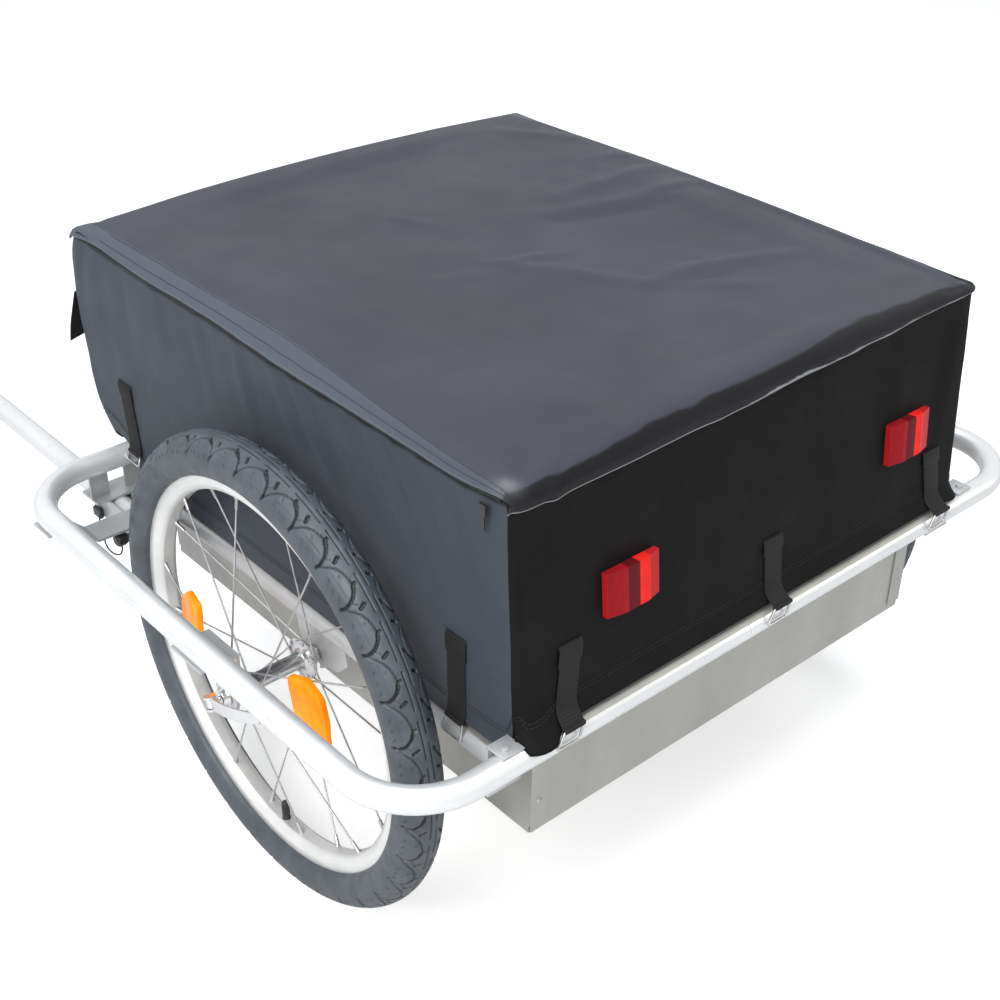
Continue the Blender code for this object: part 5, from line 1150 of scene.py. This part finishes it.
def hem_low(x, y, facing):
    """The hem's height: on the tub's side flange, and up over the loop tube at both ends."""
    low = HEM_LOW + 0.0133 * exp(-(((y + 0.227) / 0.010) ** 2))
    low += 0.0054 * easing(-y, 0.232, 0.250) + 0.0050 * easing(-y, 0.270, 0.294)
    best = low
    for offset, slope in ((y - LOOP_REAR, 0.003), (LOOP_FRONT - y, 0.012)):
        shelf = HEM_R * cos(radians(30))
        if offset < shelf:
            best = max(best, LOOP_Z + sqrt(max(HEM_R**2 - offset**2, (HEM_R / 2) ** 2)))
        elif offset < shelf + slope:
            best = max(best, low + (LOOP_Z + HEM_R / 2 - low) * (1 - easing(offset, shelf, shelf + slope)))
    best -= 0.0025 * easing(-y, 0.295, 0.300) * easing(abs(x), 0.270, 0.290)
    return best - 0.0085 * easing(-x, 0.258, 0.282) * easing(-facing, 0.55, 0.85)


def wall_ring(t):
    """Places round the cover, anticlockwise from above, at a share of its height: (x, y, out, wall)."""
    rear, front = -0.3125 + 0.0210 * t, 0.3635
    left, right = WALL_HALF_LOW + 0.0013 * t, WALL_HALF_LOW + 0.0023 * t
    corner_rear, corner_front = 0.0145 - 0.0105 * t, 0.007
    places = []
    sides = (
        ("right", (right, rear), (right, front), 150, corner_rear, corner_front, "corner"),
        ("front", (right, front), (-left, front), 140, corner_front, corner_front, "corner"),
        ("left", (-left, front), (-left, rear), 200, corner_front, corner_rear, "rear_corner"),
        ("rear", (-left, rear), (right, rear), 160, corner_rear, corner_rear, "rear_corner"),
    )
    for wall, start, end, count, before, after, turn_name in sides:
        start, end = Vector(start), Vector(end)
        ahead = (end - start).normalized()
        out = Vector((ahead.y, -ahead.x))
        first, last = start + ahead * before, end - ahead * after
        for i in range(count):
            places.append((*first.lerp(last, i / count), out, wall))
        for i in range(CORNER_STEPS):
            a = pi / 2 * i / CORNER_STEPS
            turned = out * cos(a) + ahead * sin(a)
            places.append((*(last - out * after + turned * after), turned, turn_name))
    return places


def wander(*place):
    """Smooth noise at a place."""
    return noise.noise(Vector(place))


def wall_place(x, y, out, wall, level):
    """Where the cloth is at a share of its height, given its place on the plain box."""
    side_top = side_lip(x, y) + 0.0005 - 0.006 * easing(y, 0.352, 0.362)
    end_top = cover_level(x, y) - 0.0065 if out.y > 0 else read_off(REAR_LIP, x) + 0.006
    top = side_top * out.x**2 + end_top * out.y**2
    low = hem_low(x, y, out.y)
    z = low + (top - low) * level
    flare = 0.0
    t = max(0.0, min(1.0, (0.362 - z) / 0.027))
    if out.y < -0.3:
        flare = 0.0175 * t * t * sqrt(-out.y)
    if out.y > 0.3:
        flare = 0.0008 * t * out.y
    forward = read_off(FRONT_BULGE, (z - 0.336) / 0.234) * (1 - 0.30 * easing(x, -0.25, 0.31))
    forward *= easing(y, 0.300, 0.356)
    forward += 0.0016 * max(0.0, out.y) * easing(z, 0.44, 0.48) * wander(x * 30, 3.1, z * 70)
    rise = fold_rise(x if wall in ("rear", "front") else y, z, FOLDS.get(wall, ()))
    rise += 0.0012 * wander(x * 9, y * 9, z * 14)
    rise += 0.0005 * wander(x * 40, y * 40, z * 45)
    rise *= min(1.0, (1 - level) / 0.05 + 0.2) * min(1.0, level / 0.10 + 0.15)
    return Vector((x + out.x * (rise + flare), y + AXLE_Y + forward + out.y * (rise + flare), z))


def cloth_mesh(name, rows, faces, **carried):
    """A cloth's mesh from rows of places, with values that it carries at each point."""
    mesh = bpy.data.meshes.new(name)
    mesh.from_pydata([place for row in rows for place in row], [], faces)
    for attribute_name, values in carried.items():
        mesh.attributes.new(attribute_name, "FLOAT", "POINT").data.foreach_set("value", values)
    return mesh


def thicken(piece):
    """Give a cloth its thickness, inward."""
    thickness = piece.modifiers.new("cloth_thickness", "SOLIDIFY")
    thickness.thickness = CLOTH
    thickness.offset = -1


wall_rows, wall_zip_painted_gap_shadow = [], []
for row in range(WALL_ROWS + 1):
    level = row / WALL_ROWS
    ring = wall_ring(max(0.0, 1.011 * level - 0.011))
    wall_rows.append([wall_place(x, y, out, wall, level) for x, y, out, wall in ring])
    # Painted shadow under the lid's lip, on the side walls' top rows, over the zip tape.
    wall_zip_painted_gap_shadow += [easing(level, 0.955, 0.965) * easing(abs(out.x), 0.5, 0.8) for x, y, out, wall in ring]
ring_count = len(ring)
wall_faces = [face[::-1] for face in grid_faces(WALL_ROWS + 1, ring_count, closed_columns=True)]
walls_mesh = cloth_mesh("cover_walls_cloth_mesh", wall_rows, wall_faces, zip_tape=wall_zip_painted_gap_shadow)
walls_mesh.materials.append(side_fabric)
walls_mesh.materials.append(rear_fabric_painted_shade)
# Painted shade: the rear wall and its rear corners take the near-black copy of the cloth.
for polygon in walls_mesh.polygons:
    column = polygon.vertices[3] % ring_count
    polygon.material_index = 1 if ring[column][3] in ("rear", "rear_corner") else 0
cover_walls_cloth = make_piece("cover_walls_cloth", walls_mesh, None, "frame", "cover_fabric", "cover_walls")
thicken(cover_walls_cloth)

thread = soft_black("sewing_thread", (0.010, 0.010, 0.012), 0.60, 0.75)
STITCH_PITCH, STITCH, THREAD, THREAD_LIFT = 0.0042, 0.0030, 0.00028, 0.0003


def stitches(line, outs):
    """A row of stitches along a line on a cloth, each a short thread that sinks in at both ends."""
    parts = []
    walked, nearest = 0.0, 0.0
    for (a, b), out in zip(zip(line, line[1:]), outs):
        step = (b - a).length
        while nearest < walked + step and step > 0:
            ahead = (b - a) / step
            start = a.lerp(b, (nearest - walked) / step)
            lift = out * THREAD_LIFT
            route = [start - lift, start + ahead * STITCH * 0.25 + lift]
            route += [start + ahead * STITCH * 0.75 + lift, start + ahead * STITCH - lift]
            parts.append(sweep(route, THREAD, 5))
            nearest += STITCH_PITCH
        walked += step
    return parts


seams = []
outs = [out.to_3d() for x, y, out, wall in ring]
for row_share in (0.075, 0.090):
    row = wall_rows[round(WALL_ROWS * row_share)]
    seams += stitches([p + out * 0.0002 for p, out in zip(row, outs)], outs)
make_piece("cover_wall_stitching", seams, thread, "frame", "cover_fabric")

zip_black = soft_black("zip_coil", (0.0030, 0.0030, 0.0034), 0.60, 0.75)
steps = [-0.284 + 0.646 * i / 120 for i in range(121)]
coils = []
for x in (-0.3063, 0.3073):
    coils.append(sweep([on_trailer(x, y, side_lip(x, y) - 0.0030) for y in steps], 0.0015, 8))
make_piece("cover_zip_coils", coils, zip_black, "frame", "cover_fabric")


# Lid
# The top panel, sewn to the front wall and zipped to the other three. Its sides carry a double-
# stitched zip cover, and its rear edge is rolled down over the zip.
LID_LEFT, LID_RIGHT, LID_REAR, LID_FRONT = 0.3080, 0.3090, 0.2962, 0.399
MIDDLE_COLUMNS = 136
MIDDLE_ROWS = 165
ROLL_DROP = 0.025

# Ridges (positive) and valleys (negative) of the top, each a line of (x, y), a height and a width.
LID_CREASES = (
    (((0.095, 0.082), (0.187, 0.052), (0.294, 0.035)), -0.0036, 0.0140),
    (((0.100, 0.104), (0.190, 0.076), (0.294, 0.060)), 0.0028, 0.0130),
    (((0.052, -0.090), (0.107, -0.092), (0.159, -0.111), (0.215, -0.137)), 0.0036, 0.0110),
    (((0.052, -0.108), (0.107, -0.110), (0.159, -0.129)), -0.0024, 0.0120),
    (((0.052, -0.090), (0.143, -0.166)), 0.0018, 0.0100),
    (((-0.028, 0.036), (0.003, 0.030), (0.038, 0.011)), 0.0020, 0.0080),
    (((-0.031, 0.033), (0.009, -0.015), (0.036, -0.067), (0.051, -0.094)), 0.0026, 0.0120),
    (((0.230, 0.333), (0.279, 0.263), (0.323, 0.212)), 0.0028, 0.0150),
    (((0.246, 0.186), (0.306, 0.169)), 0.0022, 0.0120),
    (((0.144, 0.135), (0.234, 0.123), (0.311, 0.118)), 0.0034, 0.0140),
    (((-0.043, 0.207), (-0.023, 0.169), (-0.009, 0.146)), 0.0014, 0.0110),
    (((-0.039, 0.051), (-0.018, 0.029), (0.013, 0.023)), 0.0016, 0.0080),
    (((-0.120, 0.047), (-0.072, 0.035), (-0.002, 0.006)), 0.0012, 0.0130),
    (((0.180, 0.364), (0.100, 0.264), (0.015, 0.159)), 0.0028, 0.0260),
    (((-0.220, 0.228), (-0.179, 0.245)), 0.0010, 0.0150),
)
CORNER_CREASES = (
    (((-0.262, -0.250), (-0.272, -0.266), (-0.2845, -0.2855)), -0.0034, 0.0075),
    (((-0.240, -0.283), (-0.256, -0.292), (-0.266, -0.300)), -0.0026, 0.0050),
    (((0.304, -0.236), (0.3035, -0.270), (0.299, -0.284), (0.285, -0.289), (0.264, -0.291)), -0.0024, 0.0045),
)


def crease_rise(x, y, creases):
    """How far the top stands up at a place, from all of its ridges and valleys."""
    rise = 0
    for line, height, wide in creases:
        nearest, share = 9, 0
        for i, (a, b) in enumerate(zip(line, line[1:])):
            distance, along = to_segment(x, y, a, b)
            if distance < nearest:
                nearest, share = distance, (i + along) / (len(line) - 1)
        if nearest < 3 * wide:
            rise += height * exp(-((nearest / wide) ** 2)) * (0.35 + 0.65 * sin(pi * share * 0.9 + 0.15))
    return rise


def lid_top(x, y):
    """The top panel's height over its own level: taut over the hoops and the bars, slack between."""
    off_hoops = easing(y, -0.270, -0.235) * (1 - easing(y, 0.335, 0.372))
    off_bars = easing(abs(abs(x) - 0.250), 0.008, 0.040)
    slack = -0.0050 * (1 - easing(abs(x), 0.10, 0.250)) * off_hoops
    broad = 0.0026 * wander(x * 6, y * 6, 0.3) + 0.0009 * wander(x * 19, y * 19, 1.7)
    inside = 1 - easing(abs(x), 0.278, 0.296)
    folds = crease_rise(x, y, LID_CREASES) * inside
    if folds < 0:
        folds *= off_hoops * off_bars
    return slack + 0.0010 * (1 - off_bars) * off_hoops + broad * off_hoops * off_bars * inside + folds


# The zip cover's section from its inner seam out to the lip, as shares of its width and its drop.
BAND_SECTION = smooth_line(
    [(0, 0), (0.05, -0.12), (0.13, 0.0), (0.30, 0.12), (0.50, 0.36), (0.72, 0.66), (0.90, 0.86),
     (0.98, 0.94), (1.0, 1.03), (0.985, 1.15)], 3)
BAND_END = len(BAND_SECTION) - 1
# The rear roll from its shoulder down to the lip, as places along Y and shares of its drop.
ROLL_SECTION = smooth_line(
    [(-0.2790, 0), (-0.2845, 0.04), (-0.2892, 0.13), (-0.2927, 0.27), (-0.2952, 0.45), (-0.2962, 0.62),
     (-0.2958, 0.82), (-0.2945, 1.0)], 5)
# The nose at the front, as places ahead of the lid's front line and how far they hang.
FRONT_SECTION = (
    (0, 0.0105), (0.0002, 0.0078), (-0.0004, 0.0050), (-0.0020, 0.0028), (-0.0045, 0.0012),
    (-0.0080, 0.0003), (-0.0120, 0))

# The rows, each a place along Y, a drop at the front and a share of the rear roll.
lid_stations = [(LID_FRONT + ahead, drop, 0.0) for ahead, drop in FRONT_SECTION]
lid_stations += [(0.387 + (-0.279 - 0.387) * i / MIDDLE_ROWS, 0.0, 0.0) for i in range(1, MIDDLE_ROWS)]
lid_stations += [(y, 0.0, share) for y, share in ROLL_SECTION]
from_lip = [0.0]
for (ya, _, da), (yb, _, db) in zip(lid_stations[::-1], lid_stations[-2::-1]):
    from_lip.append(from_lip[-1] + hypot(yb - ya, (db - da) * ROLL_DROP))
from_lip.reverse()

# The columns, each a part, a share of its width and a share of the side's drop.
lid_columns = [("left", u, drop) for u, drop in reversed(BAND_SECTION[1:])]
lid_columns += [("middle", i / MIDDLE_COLUMNS, 0) for i in range(MIDDLE_COLUMNS + 1)]
lid_columns += [("right", u, drop) for u, drop in BAND_SECTION[1:]]


def lid_place(column, station):
    """A place on the lid's outer face, from its column's and its row's values."""
    part, share, side_share = column
    y, front_drop, roll = station
    left_seam, right_seam = 0.2840 + 0.0205 * easing(-y, -0.08, 0.25), 0.2900
    if part == "middle":
        x = -left_seam + (left_seam + right_seam) * share
    elif part == "left":
        x = -left_seam - (LID_LEFT - left_seam) * share
    else:
        x = right_seam + (LID_RIGHT - right_seam) * share
    front = LID_FRONT - 0.020 * x + 0.003 * (1 - (x / 0.3) ** 2) + 0.003 * easing(-x, 0.262, 0.300)
    nick = 0.0035 * exp(-(((x + 0.275) / 0.006) ** 2)) * easing(y, 0.380, LID_FRONT)
    y += (front - LID_FRONT) * easing(y, 0.25, LID_FRONT) - nick
    edge = LID_LEFT if x < 0 else LID_RIGHT
    for reach, corner, way in ((-y - LID_REAR, 0.014, -1), (y - front, 0.006, 1)):
        a, b = min(1.0, (abs(x) - edge + corner) / corner), min(1.0, (reach + corner) / corner)
        if a > 0 and b > 0:
            x = (edge - corner + corner * a * sqrt(1 - b * b / 2)) * (1 if x > 0 else -1)
            y = way * ((LID_REAR if way < 0 else front) - corner + corner * b * sqrt(1 - a * a / 2))
    level = cover_level(x, y)
    if share and part != "middle":
        side_share += (side_share * easing(share, 0.55, 1.0) - side_share) * easing(y, 0.340, 0.385)
    side_drop = side_share * (level - side_lip(x, y))
    end_drop = front_drop + roll * (level - read_off(REAR_LIP, x))
    z = level - max(side_drop, end_drop) - 0.35 * max(0.0, min(side_drop, end_drop))
    z += lid_top(x, y) * (1 - roll) + crease_rise(x, y, CORNER_CREASES)
    z += 0.0005 * wander(x * 30, y * 30, 4.0) * easing(abs(x), 0.284, 0.300)
    lip = easing(roll, 0.1, 0.9)
    z += lip * (0.0016 * wander(x * 9, 0.4, 0) + 0.0010 * wander(x * 34, 2.4, 0))
    y -= lip * 0.0012 * wander(x * 25, 8.4, 0)
    return Vector((x, y + AXLE_Y, z))


lid_rows, rear_tone, fray, side_band = [], [], [], []
for station, distance in zip(lid_stations, from_lip):
    line = [lid_place(column, station) for column in lid_columns]
    lid_rows.append(line)
    for place, (part, share, _) in zip(line, lid_columns):
        # Painted shade: a ragged band up from the rear lip goes near black, because the rear roll faces away
        # from the light.
        ragged = 0.0050 * wander(place.x * 11, 2.1, 0) + 0.0022 * wander(place.x * 45, 7.1, 0)
        width = 0.025 + 0.008 * easing(place.x, 0, 0.15) - 0.004 * easing(place.x, 0.25, 0.28) + ragged
        rear_tone.append(easing(width - distance, -0.0012, 0.0022))
        uneven = 0.0026 + 0.0040 * wander(place.x * 60, 5.5, 0)
        frayed = 0.0012 + uneven * easing(place.x, -0.10, 0.06)
        wear_and_painted_groove_shade = 0.40 * exp(-((place.x + 0.297) ** 2 + (place.y - AXLE_Y + 0.280) ** 2) / 0.009**2)
        # Painted highlight: a faint pale line along the outer edge of each side's zip cover. The rear lip's
        # fray and the worn patch at the rear left corner are real wear.
        painted_lip_highlight = 0.12 if part != "middle" and share > 0.97 else 0.0
        fray.append(1.0 if distance < frayed else max(wear_and_painted_groove_shade, painted_lip_highlight))
        side_band.append(0.0 if part == "middle" else 1.0)
lid_faces = grid_faces(len(lid_rows), len(lid_columns))
lid_mesh = cloth_mesh(
    "cover_lid_cloth_mesh", lid_rows, lid_faces, rear_tone=rear_tone, fray=fray, side_band=side_band)

lid_fabric, tree, shader = fabric(
    "cover_lid_fabric", (0.033, 0.035, 0.045), (0.047, 0.050, 0.064), 0.40, 0.52, 0.04, 0.15)
mix_over(tree, shader, "side_band", (0.078, 0.090, 0.110), 0.8)
# Painted shade on the rear roll.
mix_over(tree, shader, "rear_tone", (0.0020, 0.0018, 0.0034), 0.95)
# Real fray and wear, and a painted highlight along the side lips.
mix_over(tree, shader, "fray", (0.34, 0.35, 0.36), 0.9)
cover_lid_cloth = make_piece("cover_lid_cloth", lid_mesh, lid_fabric, None, "cover_fabric", "cover_lid")
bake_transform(cover_lid_cloth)
thicken(cover_lid_cloth)

# Two rows on each side, from behind the blended front strip to the rear roll.
lid_seams = []
for index in (5, 14):
    for column in (BAND_END - index, len(lid_columns) - 1 - BAND_END + index):
        line = [row[column] + Vector((0, 0, 0.0002)) for row in lid_rows[16:-26]]
        lid_seams += stitches(line, [Vector((0, 0, 1))] * len(line))
make_piece("cover_lid_stitching", lid_seams, thread, "lid", "cover_fabric")


# Straps
# Black polyester webbing sewn under small folds of the walls, each with a looped end that holds a
# bright triangular wire ring round the tube. One loose end hangs at the front left corner.
STRAP_HALF = 0.012
STRAP_THICK = 0.0015
ROLL_RADIUS = 0.0020
WIRE_RADIUS = 0.0013
# A strap's section, as shares of half its width and of half its thickness.
RIBBON_SECTION = (
    (-1, -0.3), (-0.96, 0.5), (-0.7, 1), (0, 1), (0.7, 1), (0.96, 0.5), (1, -0.3), (0.96, -1), (0, -1),
    (-0.96, -1))

webbing_black, tree, shader = surface("strap_webbing", Roughness=0.72, Specular_IOR_Level=0.30)
ribs = waves(tree, "Z", 160, 0.6)
tones(tree, shader, "Base Color", ribs, (0.0050, 0.0050, 0.0056), (0.0120, 0.0120, 0.0130), (0.2, 0.8))
relief(tree, shader, ribs, 0.0004, 0.5)
relief(tree, shader, grain(tree, 1600, 2), 0.0002, 0.3)
ring_steel = metal(
    "strap_ring_steel", 0.85, (70, 4), (0.36, 0.36, 0.37), (0.58, 0.58, 0.58), (160, 4), 0.2, 0.36)[0]


def ribbon(line, normals, half, along, thick):
    """A flat strap along a line of points, with rounded edges, from the direction out of its face."""
    verts = []
    for point, normal in zip(line, normals):
        for u, v in RIBBON_SECTION:
            verts.append(Vector(point) + along * (u * half) + normal * (v * thick / 2))
    sides = len(RIBBON_SECTION)
    return verts, grid_faces(len(line), sides, closed_columns=True) + end_caps(verts, sides)


def face_directions(line, along, outward):
    """The direction out of a strap's face at each of its points."""
    normals = []
    for i in range(len(line)):
        ahead = line[min(i + 1, len(line) - 1)] - line[max(i - 1, 0)]
        normal = ahead.normalized().cross(along).normalized()
        normals.append(normal if normal.dot(outward) > 0 else -normal)
    return normals


def on_wall(wall, along, z, outward):
    """A place just outside a wall's cloth, from its place along the wall and its height."""
    axis = 0 if wall == "rear" else 1
    target = along + (AXLE_Y if axis else 0)
    cloth = [line[k] for line in wall_rows for k in range(ring_count) if ring[k][3] == wall]
    near = min(cloth, key=lambda p: (p[axis] - target) ** 2 + (p.z - z) ** 2)
    place = near + outward * 0.0016
    place[axis], place.z = target, z
    return place


def make_strap(node, path, along, outward, ring_low):
    """One strap with its stitched fold, its loop and its ring. The path runs down to the loop's place."""
    line = smooth_line(path, 6)
    normals = face_directions(line, along, outward)
    strap = ribbon(line, normals, STRAP_HALF, along, STRAP_THICK)
    fold = [line[0] + Vector((0, 0, 0.004)) - outward * 0.0012, line[0] + outward * 0.0006]
    fold += [line[3] + outward * 0.0006, line[4] - outward * 0.0004]
    tuck = ribbon(fold, [outward] * 4, STRAP_HALF * 1.12, along, 0.0022)
    end, down = line[-1], (line[-1] - line[-2]).normalized()
    loop = []
    for k in range(17):
        turn = pi * k / 8
        loop.append(end + normals[-1] * (ROLL_RADIUS * cos(turn)) + down * (ROLL_RADIUS * sin(turn)))
    roll = ribbon(loop, [(p - end).normalized() for p in loop], STRAP_HALF, along, 0.0012)
    low = on_trailer(*ring_low)
    wide = along * (STRAP_HALF + 0.0008)
    corners = [end - wide * 0.85, low - wide, low + wide, end + wide * 0.85]
    wire = []
    for i in range(4):
        a, b, c = corners[i - 1], corners[i], corners[(i + 1) % 4]
        p, q = b + (a - b).normalized() * 0.0028, b + (c - b).normalized() * 0.0028
        wire += [p.lerp(b, t).lerp(b.lerp(q, t), t) for t in (0, 0.25, 0.5, 0.75, 1)]
    make_piece(f"web_{node}", [strap, roll, tuck], webbing_black, "frame", "webbing", node)
    ring_wire = sweep(wire, WIRE_RADIUS, 10, cyclic=True)
    make_piece(f"web_{node}_ring", [ring_wire], ring_steel, "frame", "bright_steel")


ACROSS, ALONG, BACK = Vector((1, 0, 0)), Vector((0, 1, 0)), Vector((0, -1, 0))
# The rear straps: where each starts on the wall, and its place along X at the loop.
REAR_STRAPS = (
    ("left", -0.2475, 0.411, -0.2590), ("centre", 0.010, 0.405, 0.011), ("right", 0.254, 0.4065, 0.263))
FRONT_PATH = ((0.331, 0.4155), (0.3285, 0.394), (0.3255, 0.370), (0.323, 0.352))
for spot, x_top, z_top, x_low in REAR_STRAPS:
    path = []
    for z in (z_top, 0.388, 0.368, 0.354):
        share = (z_top - z) / (z_top - 0.338)
        path.append(on_wall("rear", x_top + (x_low - x_top) * share, z, BACK))
    path.append(on_trailer(x_low, -0.3268, 0.3425))
    make_strap(f"strap_rear_{spot}", path, ACROSS, BACK, (x_low - 0.007, -0.3272, 0.3270))
for side_name, sign in SIDES:
    outward = ACROSS * sign
    path = [on_wall(side_name, -0.226, z, outward) for z in (0.400, 0.372, 0.346, 0.328)]
    path.append(on_trailer(sign * 0.3072, -0.226, 0.3135))
    make_strap(f"strap_{side_name}_rear", path, ALONG, outward, (sign * 0.3119, -0.226, 0.298))
    path = [on_wall(side_name, y, z, outward) for y, z in FRONT_PATH]
    path.append(on_trailer(sign * 0.3078, 0.3208, 0.3385))
    make_strap(f"strap_{side_name}_front", path, ALONG, outward, (sign * 0.3116, 0.3208, 0.328))

tail_line = smooth_line([
    on_trailer(-0.2930, 0.4215, 0.497), on_trailer(-0.2955, 0.4270, 0.477),
    on_trailer(-0.2985, 0.4315, 0.456), on_trailer(-0.3000, 0.4345, 0.436)], 6)
tail_across = Vector((0.95, 0.10, 0.16)).normalized()
tail_normals = face_directions(tail_line, tail_across, ALONG)
tail = ribbon(tail_line, tail_normals, STRAP_HALF, tail_across, STRAP_THICK)
make_piece("web_strap_loose_end", [tail], webbing_black, "frame", "webbing")


# Tail reflectors
# Red prismatic plastic screwed through the rear wall: three upright facets at different angles, with
# fine prisms moulded in the back and a smooth face.
# Painted glow: the red also drives the emission, so the lens glows though it is no lamp.
red_lens, tree, shader = surface(
    "red_prism_lens_painted_glow", Emission_Strength=0.30, Roughness=0.32, Specular_IOR_Level=0.06)
cells = prism_cells(tree, 430, 0.1)
across_lens = tree.nodes.new("ShaderNodeSeparateXYZ")
tree.links.new(tree.nodes.new("ShaderNodeTexCoord").outputs["Generated"], across_lens.inputs["Vector"])
# Painted light and shade: across the lens the three facets are painted mid red, dark and bright for how the
# light falls on their angles, and each prism cell is painted darker at its middle.
facet_painted_light_and_shade = ramp(tree, across_lens.outputs["X"], (
    (0.00, (0.30, 0.008, 0.012)), (0.03, (0.22, 0.007, 0.012)), (0.34, (0.26, 0.009, 0.014)),
    (0.36, (0.095, 0.006, 0.009)), (0.56, (0.110, 0.008, 0.010)), (0.58, (0.74, 0.020, 0.014)),
    (0.78, (0.62, 0.018, 0.014)), (0.81, (0.40, 0.014, 0.018))))
red = colour_mix(tree, 0.5, facet_painted_light_and_shade, ramp(tree, cells, ((0.05, 0.55), (0.6, 1.0))), "MULTIPLY")
plug(tree, red, shader.inputs["Base Color"])
plug(tree, red, shader.inputs["Emission Color"])
relief(tree, shader, cells, 0.0003, 0.3)
dress(red_lens, "tail_reflector_left", "tail_reflector_right")


# Zip sliders
# Small black-coated sliders with a pull tab, one on each side's zip under the lid's skirt.
dress(knob_black, "zip_slider_left", "zip_slider_right")
